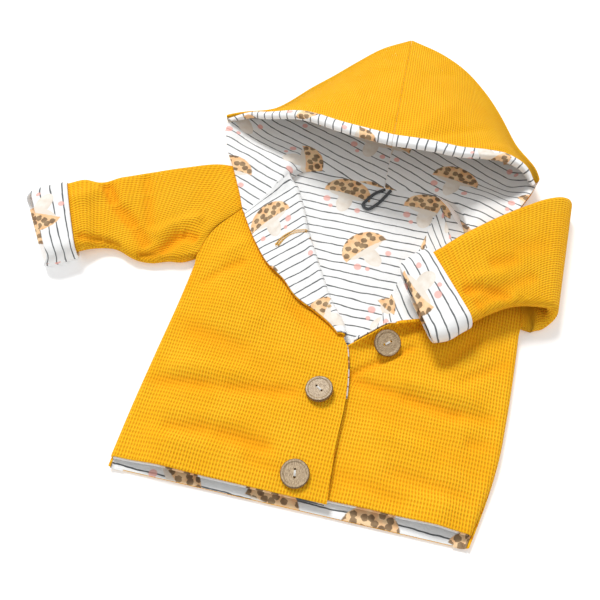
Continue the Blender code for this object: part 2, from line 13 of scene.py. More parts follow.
import bpy
import numpy as np
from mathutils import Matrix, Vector

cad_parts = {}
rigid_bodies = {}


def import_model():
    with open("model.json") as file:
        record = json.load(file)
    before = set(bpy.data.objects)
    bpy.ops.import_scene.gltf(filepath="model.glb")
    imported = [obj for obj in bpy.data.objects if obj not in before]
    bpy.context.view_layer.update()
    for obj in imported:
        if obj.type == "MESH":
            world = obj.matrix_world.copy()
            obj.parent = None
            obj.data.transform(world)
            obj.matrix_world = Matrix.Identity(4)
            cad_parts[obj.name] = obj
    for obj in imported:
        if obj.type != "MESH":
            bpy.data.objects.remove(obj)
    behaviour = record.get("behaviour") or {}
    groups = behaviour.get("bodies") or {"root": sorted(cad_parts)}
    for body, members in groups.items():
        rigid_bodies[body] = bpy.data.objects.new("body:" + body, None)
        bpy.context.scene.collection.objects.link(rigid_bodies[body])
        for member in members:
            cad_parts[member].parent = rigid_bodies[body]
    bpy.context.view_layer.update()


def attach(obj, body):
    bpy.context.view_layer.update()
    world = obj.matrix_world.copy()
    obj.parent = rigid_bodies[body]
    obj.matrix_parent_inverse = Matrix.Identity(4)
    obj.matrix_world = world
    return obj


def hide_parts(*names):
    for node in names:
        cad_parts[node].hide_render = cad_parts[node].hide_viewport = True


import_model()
MM = 0.001

# %% [markdown]
# ## Sizes and outlines
#
# A garment is drafted from outlines. Each table below is a line of the jacket in plan, with a
# height where the line leaves the table. They are the same numbers as in the CAD source, but for
# one more section where the left sleeve bulges beside its cuff, because a piece of cloth made
# here has to lie on the solid that it stands for. They could be read back from the solids, but a
# short table of named lines is easier to follow and to change.

# %% Driving sizes, in millimetres
WAFFLE = 2.0
JERSEY = 1.0
GAP = 0.3
SEAM_AIR = 0.2  # between the two halves of the hood
SIDE_RADIUS = 5.5
SIDE_GAP = 0.28
UNDERARM_Y = 46.0
ROLL_RADIUS = 0.8
LAPEL_AIR = 1.2
LAPEL_STRIP = 10.0
LAPEL_TIP = 3.6
LAPEL_TURN = 0.015  # share of the lapel in which it turns right over
BREAK = 0.47  # share of the left front's height where the lapel starts
INSIDE = WAFFLE + GAP  # from the outer face of a knit to its lining
LINED = INSIDE + JERSEY  # and through the lining, so the height of the back as it lies
LEFT_CROWN = 4.2  # how far each front is crowned above its side turn
RIGHT_CROWN = 3.6
LAPPED_HEIGHT = 9.6  # of the lower front, under the upper one
DEEP_FOLD = 3.4
HOOD_RADIUS = 8.0
HOOD_CORNER_RADIUS = 4.5
CUFF_WALL = 2.4
BUTTON_RADIUS = 11.4
BUTTON_HEIGHT = 3.2
THREAD_HOLE_OUT = 2.9
LOOP_RADIUS = 1.5
PITCH_ACROSS = 2.45  # waffle cells, across the knitted columns
PITCH_ALONG = 3.4  # and along them
STRIPE = 8.8  # from one stripe of the lining to the next
print("waffle cell:", PITCH_ACROSS, "x", PITCH_ALONG, "mm, stripes every", STRIPE, "mm")

# %% Outlines of the body. columns: x, y, and height where there is a third
SIDE_LEFT = ((-150, -157), (-149, -110), (-147, -60), (-144, 0), (-143, 46))
SIDE_RIGHT = ((134, -149), (140, -122), (146, -88), (149, -40), (150, 10), (150, 46))
ARMHOLE_LEFT = ((-143, 46), (-138, 74), (-121, 102), (-104, 128), (-94, 146))
ARMHOLE_RIGHT = ((150, 46), (145, 74), (132, 100), (120, 118), (110, 128))
BACK_NECK = (
    (-94, 146), (-80, 164), (-58, 175), (-30, 173), (4, 170),
    (26, 171), (50, 175), (67, 164), (84, 143), (110, 128),
)
BACK_HEM_Y = -153.0
FRONT_EDGE_LEFT = ((24, -146), (20, -95), (19, -58), (13.2, -24), (7.6, -5))
ROLL_LEFT = (
    (4.0, -5), (-1.5, 8), (-11, 21), (-20, 34), (-32, 55), (-42, 73), (-55, 97), (-66, 122), (-78, 145),
)
LAPEL_EDGE_LEFT = ((0.6, -6), (-8, 2), (-24, 12), (-45, 22), (-60, 36), (-75, 46), (-94, 68), (-112, 95))
FRONT_EDGE_RIGHT = (
    (-20, -142, 9.5), (-20, -58, 9.8), (-17, -38, 10), (-6, -23, 10), (6, -14, 11), (15, -8, 15.5),
    (26, 0, 21), (39, 11, 24), (54, 18, 22.5), (67, 24, 20), (85, 45, 17), (91, 68, 15), (93, 92, 13.5),
)
RIM_START = 12 / 23  # share of that front's length where the raised rim starts
CREASE_RIGHT = ((13, 2), (28, 16), (33, 36), (36, 53), (43, 80), (49, 96), (55, 124), (60, 148), (64, 160))
print("body outlines:", len(FRONT_EDGE_LEFT) + len(FRONT_EDGE_RIGHT), "points on the two front edges")

# %% Outlines of the hood. columns: x, y, height
NECK_LEFT = (
    (-113, 98, 12.6), (-98, 127, 12.6), (-90, 150, 12.4), (-80, 167, 7),
    (-58, 177, 1), (-30, 174.5, 0), (6.6, 171.5, 0),
)
NECK_RIGHT = (
    (99, 102, 15.6), (93, 130, 13), (78, 161, 8), (64, 173, 3),
    (50, 177, 0.6), (26, 172.8, 0), (6.6, 171.5, 0),
)
HOOD_EDGE_LEFT = ((-160, 192, 13), (-152, 169, 14), (-140, 148, 15), (-124, 118, 13.5), (-113, 98, 12.6))
HOOD_EDGE_RIGHT = ((143, 184, 18), (129, 152, 16.5), (118, 128, 15.5), (99, 102, 15.6))
HOOD_FAR_LEFT = (
    (-165, 208), (-149, 219), (-120, 238), (-90, 277), (-73, 298), (-55, 322), (-32, 350), (-4, 371),
)
HOOD_FAR_RIGHT = (
    (148, 199), (143, 214), (135, 230), (119, 256), (103, 285), (83, 314), (55, 343), (33, 357), (-4, 371),
)
RIM_LEFT = (
    (-158, 201, 20.5), (-140, 205, 28.5), (-120, 200, 38), (-82, 193, 54),
    (-39, 178, 64), (-17, 174, 66), (7, 172, 66),
)
RIM_RIGHT = (
    (142, 189, 25.5), (132, 198, 33), (116, 199, 42), (92, 190, 52),
    (68, 181, 58), (42, 176, 64), (7, 172, 66),
)
# The lining turned out over the rim. columns: its shown face past the rim and above it, its hidden face
RIM_TURN = (
    (1.7, -3.1, 0.6, -2.2), (2.9, -1.0, 0.8, -1.0), (2.0, 1.6, 0.6, 0.4),
    (-2.5, 2.5, -2.5, 0.5), (-7.0, 2.3, -7.0, 0.5), (-10.5, 1.4, -10.5, 0.4),
)
print("hood outlines:", len(RIM_LEFT) + len(RIM_RIGHT), "points round the rim")

# %% Sections of the sleeves and cuffs
# columns: x, y, z of the end nearest the hem, x, y, z of the other end, thickness, lean in degrees
SLEEVE_LEFT = (
    (-154, 39, 6.2, -112, 150, 6.2, 12.4, 0),
    (-168, 35, 7, -150, 154, 6.6, 13.2, 0),
    (-184, 29, 7.5, -186, 140, 7.5, 15, 0),
    (-198, 29, 7.5, -212, 127, 8.2, 15, 0),
    (-220, 35, 8, -240, 112, 9, 16, 0),
    (-234, 32, 9, -259, 100, 9.8, 17, 0),
    (-241, 28, 11, -272, 98.5, 11.6, 18, 0),
    (-247, 23.5, 12.4, -284, 90, 13.2, 18, 0),
    (-260, 15, 12.5, -301, 76, 13.2, 18, 0),
    (-270, 7, 12, -316, 64, 12.6, 17, 0),
)
SLEEVE_RIGHT = (
    (157, 45, 6, 128, 146, 6, 12, 0),
    (163, 47, 6, 154, 184, 6.5, 11, 8),
    (169, 51, 6.5, 169, 188, 7, 10.5, 30),
    (172, 55, 9.5, 174.5, 188, 10, 10, 60),
    (173.5, 58, 14.5, 176.5, 186, 15.5, 10, 90),
    (172, 60, 20.5, 174, 184, 22, 10, 120),
    (168, 60, 25, 168, 180, 27, 10.5, 150),
    (160, 58, 28, 156, 172, 30.5, 11.5, 172),
    (148, 55, 29.5, 138, 158, 32, 13, 180),
    (136, 50, 30.5, 118, 141, 33, 14, 180),
    (122, 40, 31.5, 96, 120, 33.5, 15, 180),
    (110, 29, 32.5, 74, 97, 34, 15, 180),
    (100, 19, 33.4, 62, 83, 34.4, 14.5, 180),
    (88, 8, 33, 50, 70, 33.5, 14, 180),
)
CUFF_LEFT = (
    (-246.5, 16.5, 12.6, -286, 90, 13.6, 25, 0),
    (-254, 11, 12.6, -298, 83.5, 13.4, 25, 0),
    (-264, 4, 12.4, -311, 75.5, 13, 24, 0),
    (-274, -0.5, 12, -322, 67, 12.5, 22.5, 0),
)
CUFF_RIGHT = (
    (107, 21.5, 33.6, 57, 86, 34.8, 22, 180),
    (99, 13.5, 33.6, 49.5, 80, 34.6, 22, 180),
    (90, 4.5, 33.4, 43, 73, 34.2, 21, 180),
    (79, -0.5, 33.2, 38, 64, 33.8, 20, 180),
)
print("sleeve sections:", len(SLEEVE_LEFT), "left,", len(SLEEVE_RIGHT), "right")

# %% Fastenings, and the folds that the solids have too
# Buttons. columns: x, y, lean towards +X and +Y, turn in degrees, height below it or 0 on the left front
BUTTONS = (
    (-5, -130, 0.0, -0.06, 100, 0),
    (-3.5, -58, -0.14, 0.05, 75, 0),
    (42, -4, 0.28, -0.42, 8, 18.05),
    (107, 52, 0.0, 0.0, 40, 14.1),
)
LOOP = ((8, 166.5), (0, 160), (-6, 151), (-9, 142), (-4.5, 139.2), (3, 146), (9, 157), (13.5, 167))
# Folds. columns: x, y of each end, height, half width
FOLDS_LEFT = (
    (-148, -20, -30, -62, -1.3, 13), (-120, -95, -30, -118, -1.1, 12), (-135, 10, -70, -20, 1.2, 14),
)
FOLDS_RIGHT = ((34, -52, 140, -96, -1.3, 14), (64, -22, 140, -34, 1.2, 14), (50, -122, 125, -118, -0.9, 12))
print("buttons:", len(BUTTONS), "folds:", len(FOLDS_LEFT) + len(FOLDS_RIGHT))

# %% [markdown]
# ## Curves, blends and folds
#
# Every surface below is a grid of points: one direction runs along a table's line, the other from
# one line to another. A few small functions do all of that. `along` is a smooth curve through the
# rows of a table, `smooth` is a soft step, and `fold` is the height of one soft fold. Sculpting
# would also give folds, but a fold written as a number can be moved or made softer later.


# %% Curves and blends
def run_along(points):
    """The length of a line of points up to each of them."""
    return np.r_[0, np.cumsum(np.linalg.norm(np.diff(np.asarray(points, float), axis=0), axis=1))]


def along(rows, share):
    """Points at shares of a smooth curve's length: cubic pieces whose slopes come from the rows beside."""
    rows = np.asarray(rows, float)
    chord = run_along(rows)
    chord /= chord[-1]
    slope = np.gradient(rows, chord, axis=0)
    share = np.clip(np.asarray(share, float), 0, 1)
    low = np.clip(np.searchsorted(chord, share, side="right") - 1, 0, len(rows) - 2)
    span = (chord[low + 1] - chord[low])[..., None]
    w = (share - chord[low])[..., None] / span
    start = rows[low] * (1 + 2 * w) + slope[low] * span * w
    end = rows[low + 1] * (3 - 2 * w) - slope[low + 1] * span * (1 - w)
    return start * (1 - w) ** 2 + end * w**2


def smooth(low, high, value):
    """0 at low, 1 at high, and 3w2 - 2w3 between them; low may be the larger."""
    w = np.clip((value - low) / (high - low), 0, 1)
    return w * w * (3 - 2 * w)


def mix(a, b, w):
    """a + (b - a) times w."""
    return a + (b - a) * w


def unit(v):
    """Vectors divided by their own lengths."""
    return v / np.maximum(np.linalg.norm(v, axis=-1, keepdims=True), 1e-9)


def apart(grid, line):
    """Distance in plan of each point of a grid from its own row's point on a line."""
    return np.linalg.norm(grid[..., :2] - line[:, None, :2], axis=2)


def normals(grid, ring=False):
    """Unit cross product of a grid's slopes along its rows and its columns."""
    if ring:
        across = np.roll(grid, -1, axis=1) - np.roll(grid, 1, axis=1)
    else:
        across = np.gradient(grid, axis=1)
    return unit(np.cross(across, np.gradient(grid, axis=0)))


def fold(x, y, row):
    """A bell, height times exp(-(distance / half width)2), along a segment and fading at its ends."""
    x0, y0, x1, y1, height, half_width = row
    length = np.hypot(x1 - x0, y1 - y0)
    run = ((x - x0) * (x1 - x0) + (y - y0) * (y1 - y0)) / length**2
    side = ((x - x0) * (y1 - y0) - (y - y0) * (x1 - x0)) / length
    ends = smooth(-0.12, 0.18, run) * smooth(1.12, 0.82, run)
    return height * np.exp(-((side / half_width) ** 2)) * ends


def folds(x, y, table):
    """The sum of a table's folds."""
    return sum(fold(x, y, row) for row in table)


def fold_depth(height):
    """0 where a fold stands up or there is none, and 1 where it goes down by DEEP_FOLD or more."""
    return np.clip(-height / DEEP_FOLD, 0, 1)


print("middle of the left roll line:", along(ROLL_LEFT, np.array([0.5]))[0].round(1))

# %% [markdown]
# ## From a grid to cloth
#
# A cut piece of cloth has two faces and a turned edge. Blender's Solidify modifier can thicken a
# single sheet, but it leaves square edges. Here both faces are worked out, and close to the border
# they are blended towards each other along a quarter circle, so that every hem and seam has the
# round edge of folded cloth. The two faces share their border points, so the mesh is closed. A UV
# map named "cloth" holds the place on the flat cloth in millimetres, which is what the knit and
# the stripes follow.


# %% The cloth maker
def quads(values):
    """The four corners of every cell of a grid, in order round the cell."""
    four = np.stack([values[:-1, :-1], values[1:, :-1], values[1:, 1:], values[:-1, 1:]], axis=2)
    return four.reshape((-1, 4) + values.shape[2:])


def closer_rows(count, first, last, thick):
    """Row positions with up to three more near each end, and there how far both faces have met."""
    extra = np.array((0.1, 0.35, 0.8)) * thick / 2
    start = extra[extra < 0.8 * first] / first
    end = extra[extra < 0.8 * last] / last
    place = np.r_[0, start, np.arange(1, count - 1), count - 1 - end[::-1], count - 1]
    distance = np.minimum(place * first, (count - 1 - place) * last)
    return place, 0.5 * (1 - np.sqrt(1 - (1 - np.clip(2 * distance / thick, 0, 1)) ** 2))


def rows_at(values, place):
    """Rows of an array at positions between its own, by straight lines."""
    low = np.clip(place.astype(int), 0, len(values) - 2)
    w = (place - low).reshape((-1,) + (1,) * (values.ndim - 1))
    return values[low] * (1 - w) + values[low + 1] * w


def steps_between(grid, axis):
    """Distances between neighbours of a grid along one axis."""
    return np.linalg.norm(np.diff(grid, axis=axis), axis=2)


def flat_map(grid, ring=False):
    """The cloth's own plane: u is the length along each row and v along each column, in millimetres."""
    if ring:
        grid = np.concatenate([grid, grid[:, :1]], axis=1)
    u = np.cumsum(np.pad(steps_between(grid, 1), ((0, 0), (1, 0))), axis=1)
    v = np.cumsum(np.pad(steps_between(grid, 0), ((1, 0), (0, 0))), axis=0)
    return np.dstack([u, v])


def placed(name, data):
    """A new object in the scene, at the origin."""
    made = bpy.data.objects.new(name, data)
    bpy.context.scene.collection.objects.link(made)
    return made


def new_piece(name, points, faces, uv, finish):
    """A piece of the jacket from points in millimetres, faces, the map of their corners and a finish.

    A finish is a pair: a material and the name of a slot, which is not used.
    """
    material, slot = finish
    mesh = bpy.data.meshes.new(name)
    mesh.from_pydata((points * MM).tolist(), [], faces)
    layer = mesh.uv_layers.new(name="cloth")
    layer.data.foreach_set("uv", uv.astype(np.float32).ravel())
    mesh.shade_smooth()
    mesh.materials.append(material)
    piece = placed(name, mesh)
    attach(piece, "root")
    return piece


def outwards(points, faces, uv):
    """Four-sided faces and their map, turned round where the volume they enclose is below 0."""
    corner = points[faces]
    volume = np.einsum("ij,ij->", corner[:, 0], np.cross(corner[:, 1], corner[:, 2]))
    volume += np.einsum("ij,ij->", corner[:, 0], np.cross(corner[:, 2], corner[:, 3]))
    return (faces[:, ::-1], uv[:, ::-1]) if volume < 0 else (faces, uv)


def edge_ready(grids, thick, ring):
    """Grids with rows and columns added near the border, and the share of a half turn at each point."""
    gap = steps_between(grids[0], 0)
    place, share = closer_rows(len(grids[0]), gap[0].mean(), gap[-1].mean(), thick)
    grids = [rows_at(grid, place) for grid in grids]
    share = np.repeat(share[:, None], grids[0].shape[1], axis=1)
    if not ring:
        gap = steps_between(grids[0], 1)
        place, side = closer_rows(grids[0].shape[1], gap[:, 0].mean(), gap[:, -1].mean(), thick)
        grids = [rows_at(grid.swapaxes(0, 1), place).swapaxes(0, 1) for grid in grids]
        share = np.maximum(rows_at(share.T, place).T, side)
    return grids, share[..., None]


def say_cut(middle, cut, ring):
    """Works out the cross product of each cell's diagonals in a sheet and keeps nothing; `cut` is not used.
    """
    if ring:
        middle = np.hstack([middle, middle[:, :1]])
    middle = quads(middle)
    cross = np.cross(middle[:, 2] - middle[:, 0], middle[:, 3] - middle[:, 1])


def cloth(name, face, back, uv, finish, node, ring=False, cut=None, depth=None):
    """A closed piece of cloth between two grids, its border rounded; it stands for a CAD node, if any.

    `cut`, a map of the cloth's plane or uv itself, is not used. depth holds how far down in a fold each point
    of the grid is, from 0 to 1.
    """
    cut = uv if cut is None else cut
    depth = np.zeros(face.shape[:2]) if depth is None else depth
    thick = float(np.linalg.norm(face - back, axis=2).mean())
    (face, back, uv, depth), share = edge_ready((face, back, uv, depth), thick, ring)
    outer = mix(face, back, share)
    inner = mix(back, face, share)
    rows, columns = outer.shape[:2]
    number = np.arange(rows * columns).reshape(rows, columns)
    under = number.copy()
    own = np.s_[1:-1, :] if ring else np.s_[1:-1, 1:-1]
    under[own] = rows * columns + np.arange(under[own].size).reshape(under[own].shape)
    if ring:
        number = np.hstack([number, number[:, :1]])
        under = np.hstack([under, under[:, :1]])
    points = np.vstack([outer.reshape(-1, 3), inner[own].reshape(-1, 3)])
    faces = np.vstack([quads(number), quads(under)[:, ::-1]])
    corners = np.concatenate([quads(uv), quads(uv)[:, ::-1]])
    faces, corners = outwards(points, faces, corners)
    piece = new_piece(name, points, faces.tolist(), corners, finish)
    layer = piece.data.attributes.new("fold", "FLOAT", "POINT")
    layer.data.foreach_set("value", np.r_[depth.ravel(), depth[own].ravel()].astype(np.float32))
    if node:
        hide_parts(node)
    say_cut((face + back) / 2, cut, ring)


# %% [markdown]
# ## Shader maths
#
# A material in Blender is a graph of nodes. Drawing it by hand is pleasant for ten nodes and slow
# for a hundred, so this small class lets a material be written like a sum: the object holds one
# socket, and adding or multiplying it makes the Math nodes and their links.


# %% A value in a material
class Flow:
    """One value on its way through a material's nodes; maths on it adds Math nodes."""

    def __init__(self, tree, socket):
        self.tree = tree
        self.socket = socket

    def node(self, kind, settings, values, output=0):
        """Adds any node: its settings first, then the values or links of its inputs."""
        made = self.tree.nodes.new(kind)
        for name, value in settings.items():
            setattr(made, name, value)
        for name, value in values.items():
            if isinstance(value, Flow):
                self.tree.links.new(value.socket, made.inputs[name])
            else:
                made.inputs[name].default_value = value
        return Flow(self.tree, made.outputs[output])

    def math(self, operation, *values):
        """One of the Math node's operations on numbers or other Flows."""
        return self.node("ShaderNodeMath", {"operation": operation}, dict(enumerate(values)))

    def wave(self):
        """The sine of this value in radians."""
        return self.math("SINE", self)

    def floor(self):
        """The whole number at or below this value."""
        return self.math("FLOOR", self)

    def vector(self, operation, *values, output=0):
        """One of the Vector Math node's operations."""
        return self.node("ShaderNodeVectorMath", {"operation": operation}, dict(enumerate(values)), output)

    def __add__(self, other):
        return self.math("ADD", self, other)

    def __sub__(self, other):
        return self.math("SUBTRACT", self, other)

    def __rsub__(self, other):
        return self.math("SUBTRACT", other, self)

    def __mul__(self, other):
        return self.math("MULTIPLY", self, other)

    def __truediv__(self, other):
        return self.math("DIVIDE", self, other)

    __radd__ = __add__
    __rmul__ = __mul__

    def step(self, low, high):
        """0 below low, 1 above high and a soft step between; low may be the larger."""
        return self.node(
            "ShaderNodeMapRange",
            {"interpolation_type": "SMOOTHSTEP"},
            {"Value": self, "From Min": low, "From Max": high},
        )

    def pair(self, other):
        """A vector from this value and another one."""
        return self.node("ShaderNodeCombineXYZ", {}, {0: self, 1: other})

    def parts(self):
        """The first two numbers of a vector."""
        first = self.node("ShaderNodeSeparateXYZ", {}, {0: self})
        return first, Flow(self.tree, first.socket.node.outputs[1])

    def noise(self, scale, detail=2.0):
        """Soft noise between 0 and 1 at this place on the cloth."""
        values = {"Vector": self, "Scale": scale, "Detail": detail}
        return self.node("ShaderNodeTexNoise", {"noise_dimensions": "2D"}, values)

    def colours(self, first, second):
        """The colour first where this mask is 0, and second where it is 1."""
        return self.node("ShaderNodeMix", {"data_type": "RGBA"}, {0: self, 6: first, 7: second}, 2)

    def bump(self, distance, strength=1.0):
        """The normal of a surface whose height in units of distance is this value."""
        return self.node("ShaderNodeBump", {}, {"Strength": strength, "Distance": distance, "Height": self})


def blank(name, finish):
    """A new material and its shader, with the numbers that are the same all over it set by name."""
    made = bpy.data.materials.new(name)
    made.use_nodes = True
    shader = made.node_tree.nodes["Principled BSDF"]
    for socket, value in finish.items():
        shader.inputs[socket].default_value = value
    return made, shader


def cloth_place(made):
    """A Flow that starts at a material's place on the cloth."""
    return Flow(made.node_tree, None).node("ShaderNodeUVMap", {"uv_map": "cloth"}, {})


def into(shader, name, flow):
    """Links a Flow to one of the shader's sockets."""
    flow.tree.links.new(flow.socket, shader.inputs[name])


print("maths on a Flow:", ", ".join(name for name in vars(Flow) if not name.startswith("__")))

# %% [markdown]
# ## Waffle knit
#
# Waffle knit is a grid of ridges round small square pits. The columns of cells follow the length
# of the cloth. The pits are darker, because less light gets into them, and their walls glow more
# orange, because light there bounces from yarn to yarn. A photo texture would be the quick way,
# but a product of two squared sine waves on the cloth's own map gives the cells at the true size
# on every piece, and the same wave drives the bump and the colour. Down in a fold the light goes
# from cloth to cloth and turns deeper orange, so each mesh carries a number named "fold".


# %% Waffle knit material
def waffle_knit():
    """Ridges round square pits: sin2 across the columns times sin2 along them, and yarn on top."""
    made, shader = blank("waffle knit", {"Roughness": 0.9, "Specular IOR Level": 0.12})
    place = cloth_place(made)
    u, v = place.parts()
    drift = place.noise(0.05, 1.0) - 0.5
    across = (u * (np.pi / PITCH_ACROSS) + drift * 1.2).wave()
    lengthwise = (v * (np.pi / PITCH_ALONG) + drift).wave()
    pit = across * across * (lengthwise * lengthwise * 0.5 + 0.5)
    yarn = (u * (6 * np.pi / PITCH_ACROSS) + v * 2.2).wave()
    fuzz = place.noise(2.4, 3.0)
    patch = place.noise(0.03, 3.0).step(0.3, 0.7)
    ridge_colour = patch.colours((1.0, 0.51, 0.010, 1), (1.0, 0.55, 0.016, 1))
    knit = pit.step(0.15, 0.9).colours(ridge_colour, (0.84, 0.29, 0.003, 1))
    light = fuzz.step(0.4, 0.8) * 0.4
    knit = light.colours(knit, (1.0, 0.64, 0.04, 1))
    depth = place.node("ShaderNodeAttribute", {"attribute_name": "fold"}, {}, "Fac")
    into(shader, "Base Color", (depth * 0.5).colours(knit, (1.0, 0.35, 0.004, 1)))
    height = (1 - pit) + yarn * 0.08 + fuzz * 0.25
    into(shader, "Normal", height.bump(0.0008))
    return made


KNIT = (waffle_knit(), "waffle_knit")
print("waffle knit nodes:", len(KNIT[0].node_tree.nodes))

# %% [markdown]
# ## Striped jersey
#
# The lining is a smooth white jersey, printed with thin grey lines as if drawn by hand and with a
# motif scattered over them. The motif here is a plain toadstool with a spotted cap. Each stripe is
# a thin band round a level of the map that a noise pushes up and down, so that no two are alike.
# The toadstools sit in the tiles of a brick pattern, and a random number for each tile turns and
# shifts its toadstool.

# %% Print of the lining
TILE = (78.0, 61.6)  # width and height of a toadstool's tile
SPOTS = 7.6  # size of the cap's spots


def oval(place, centre, radii):
    """Distance from an oval's middle, 1 on its outline: the length of (place - centre) / radii."""
    moved = place.vector("SUBTRACT", place, (*centre, 0))
    scaled = place.vector("DIVIDE", moved, (*radii, 1))
    return place.vector("LENGTH", scaled, output="Value")


def stripes(place):
    """1 on a thin wavering line in the middle of each band of the map."""
    u, v = place.parts()
    band = (v / STRIPE).floor()
    wander = (u * 0.03).pair(band * 7.31).noise(1.0, 3.0) - 0.5
    off = v - (band + 0.5) * STRIPE - wander * 4.2
    half = (u * 0.11).pair(band * 3.7).noise(1.0) * 0.52 + 0.36
    return (off.math("ABSOLUTE", off) - half).step(0.14, -0.14)


def tile_of(place):
    """A place counted from the middle of its tile in a brick pattern and turned at random, and the chance."""
    u, v = place.parts()
    row = (v / TILE[1]).floor()
    shifted = u + row * 33.0
    column = (shifted / TILE[0]).floor()
    pair = {"Vector": column.pair(row)}
    chance = column.node("ShaderNodeTexWhiteNoise", {"noise_dimensions": "2D"}, pair)
    x = shifted - (column + 0.5) * TILE[0] - (chance - 0.5) * 9
    y = v - (row + 0.5) * TILE[1] + (chance - 0.5) * 7
    turn = {"Vector": x.pair(y), "Angle": (chance - 0.5) * 2.4}
    return x.node("ShaderNodeVectorRotate", {"rotation_type": "Z_AXIS"}, turn), chance


PEACH = ((0.86, 0.50, 0.24, 1), (0.93, 0.68, 0.40, 1))
BROWN = ((0.20, 0.12, 0.06, 1), (0.36, 0.24, 0.13, 1))
CREAM = ((0.80, 0.72, 0.62, 1), (0.90, 0.85, 0.78, 1))
PINK_DOTS = (((-17, -12), 3.6), ((15, -16), 2.9), ((-11, -19), 2.2))


def toadstools(place, ground):
    """The ground colour with a toadstool in each tile: ovals for cap, underside and stem, spots, dots."""
    turned, chance = tile_of(place)
    p, q = turned.parts()
    edge = turned.noise(0.4) - 0.5
    bend = p * p * 0.006
    cap = (oval(turned, (0, -1), (23, 19)) + edge * 0.05).step(1.02, 0.97)
    cap = cap * (q + bend * 0.9 + edge * 1.2).step(-0.5, 0.5)
    under = (oval(turned, (0, -1.2), (19, 4.6)) + edge * 0.08).step(1.04, 0.95)
    stem = (oval(turned, (0, -10), (7.4, 12.5)) + edge * 0.06).step(1.04, 0.95)
    stem = stem * q.step(2.0, 1.0)
    values = {"Vector": (p + chance * 90).pair(q), "Scale": 1 / SPOTS, "Randomness": 0.75}
    cells = turned.node("ShaderNodeTexVoronoi", {"voronoi_dimensions": "2D"}, values)
    spots = (cells + edge * 0.25).step(0.40, 0.34)
    wash = turned.noise(0.09, 3.0).step(0.3, 0.7)
    peach = (oval(turned, (0, 6), (30, 22)).step(0.55, 0.95) * 0.55).colours(
        wash.colours(*PEACH), (0.88, 0.42, 0.17, 1)
    )
    cream = (p.step(1.0, 9.0) * 0.6).colours(wash.colours(*CREAM), (0.70, 0.60, 0.50, 1))
    picture = stem.colours(ground, cream)
    picture = under.colours(picture, (0.84, 0.76, 0.66, 1))
    picture = cap.colours(picture, spots.colours(peach, wash.colours(*BROWN)))
    for centre, radius in PINK_DOTS:
        dot = oval(turned, centre, (radius, radius)).step(1.1, 0.8)
        picture = (dot * 0.8).colours(picture, (0.88, 0.42, 0.36, 1))
    return picture


def striped_jersey():
    """White jersey with the print on it, fine ribs of one sine along the knitted columns, and soft dents."""
    made, shader = blank("striped jersey", {"Roughness": 0.85, "Sheen Weight": 0.1})
    place = cloth_place(made)
    u, v = place.parts()
    patch = place.noise(0.02)
    white = patch.colours((0.86, 0.87, 0.87, 1), (0.93, 0.93, 0.92, 1))
    lined = (stripes(place) * 0.93).colours(white, (0.045, 0.052, 0.06, 1))
    into(shader, "Base Color", toadstools(place, lined))
    ribs = (u * 6.0).wave()
    soft = place.noise(0.06)
    fuzz = place.noise(1.6)
    into(shader, "Normal", (soft * 3.0 + fuzz * 0.25 + ribs * 0.04).bump(0.0006, 0.7))
    return made


STRIPED = (striped_jersey(), "lining_jersey")
print("jersey nodes:", len(STRIPED[0].node_tree.nodes))

# %% [markdown]
# ## The body
#
# The back lies on the table, and both fronts lie on it. At the side seams the cloth turns round
# from the back to the front, so each panel starts with a quarter of a circle. The rows of a panel
# run from its side seam to its free edge. The left front laps over the right one, and above the
# second button its edge rolls outwards into a lapel that shows the lining.


# %% Heights of the fronts
def curve_x(rows, y):
    """x of a plan curve at each y, by straight lines between 80 of its points."""
    points = along(rows, np.linspace(0, 1, 80))
    order = np.argsort(points[:, 1])
    return np.interp(y, points[order, 1], points[order, 0])


def left_height(x, y):
    """Outer face of the upper front: crowned in the middle, sunk towards the lapel's roll line."""
    crown = 2 * SIDE_RADIUS + LEFT_CROWN * smooth(-150, -100, x) * smooth(95, 40, y)
    crown = crown + folds(x, y, FOLDS_LEFT)
    crown = crown - 2.6 * smooth(105, 146, y) - 2.0 * smooth(-120, -150, y)
    near_roll = smooth(50, 3, curve_x(ROLL_LEFT, y) - x) * smooth(-14, 26, y)
    return mix(crown, LINED + GAP + JERSEY + GAP + WAFFLE + 0.6, near_roll)


def right_height(x, y):
    """Outer face of the lower front: crowned, and low where the upper front laps over it."""
    crown = 2 * SIDE_RADIUS + RIGHT_CROWN * smooth(150, 105, x) * smooth(80, 30, y)
    crown = crown + folds(x, y, FOLDS_RIGHT)
    crown = crown - 2.0 * smooth(-120, -150, y)
    return mix(crown, LAPPED_HEIGHT, smooth(62, 20, x) * smooth(30, -20, y))


def body_edge(side, armhole, rows):
    """Plan points up one edge of the body: three fifths on the side seam, the rest on the armhole."""
    lower = round(rows * 0.6)
    seam = along(side, np.linspace(0, 1, lower))
    return np.vstack([seam, along(armhole, np.linspace(0, 1, rows - lower + 1))[1:]])


def from_side_seam(edge, inner, straight, sign):
    """Rows that leave the side seam in a quarter circle of TURN points and then run straight.

    Distance from the seam is radius times (1 - cos angle), height is radius times sin angle.
    Towards the underarm the turn fades, so the armhole edge lies flat.
    """
    steps = np.linspace(0, 1, TURN)
    faded = smooth(UNDERARM_Y - 14, UNDERARM_Y, edge[:, 1])[:, None]
    angle = np.pi / 2 * mix(faded, 1, steps)
    reach = SIDE_RADIUS * (np.cos(np.pi / 2 * faded) - np.cos(angle)) + 3 * faded * steps
    width = np.linalg.norm(inner - edge, axis=1)[:, None]
    rest = np.linspace(0, 1, straight + 1)[1:]
    distance = np.hstack([reach, mix(reach[:, -1:], width, rest)])
    plan = edge[:, None] + unit(inner - edge)[:, None] * distance[..., None]
    lift = np.hstack([np.sin(angle), np.ones((len(edge), straight))])
    return np.dstack([plan, SIDE_RADIUS * (1 + sign * lift) + sign * SIDE_GAP * (1 - lift)])


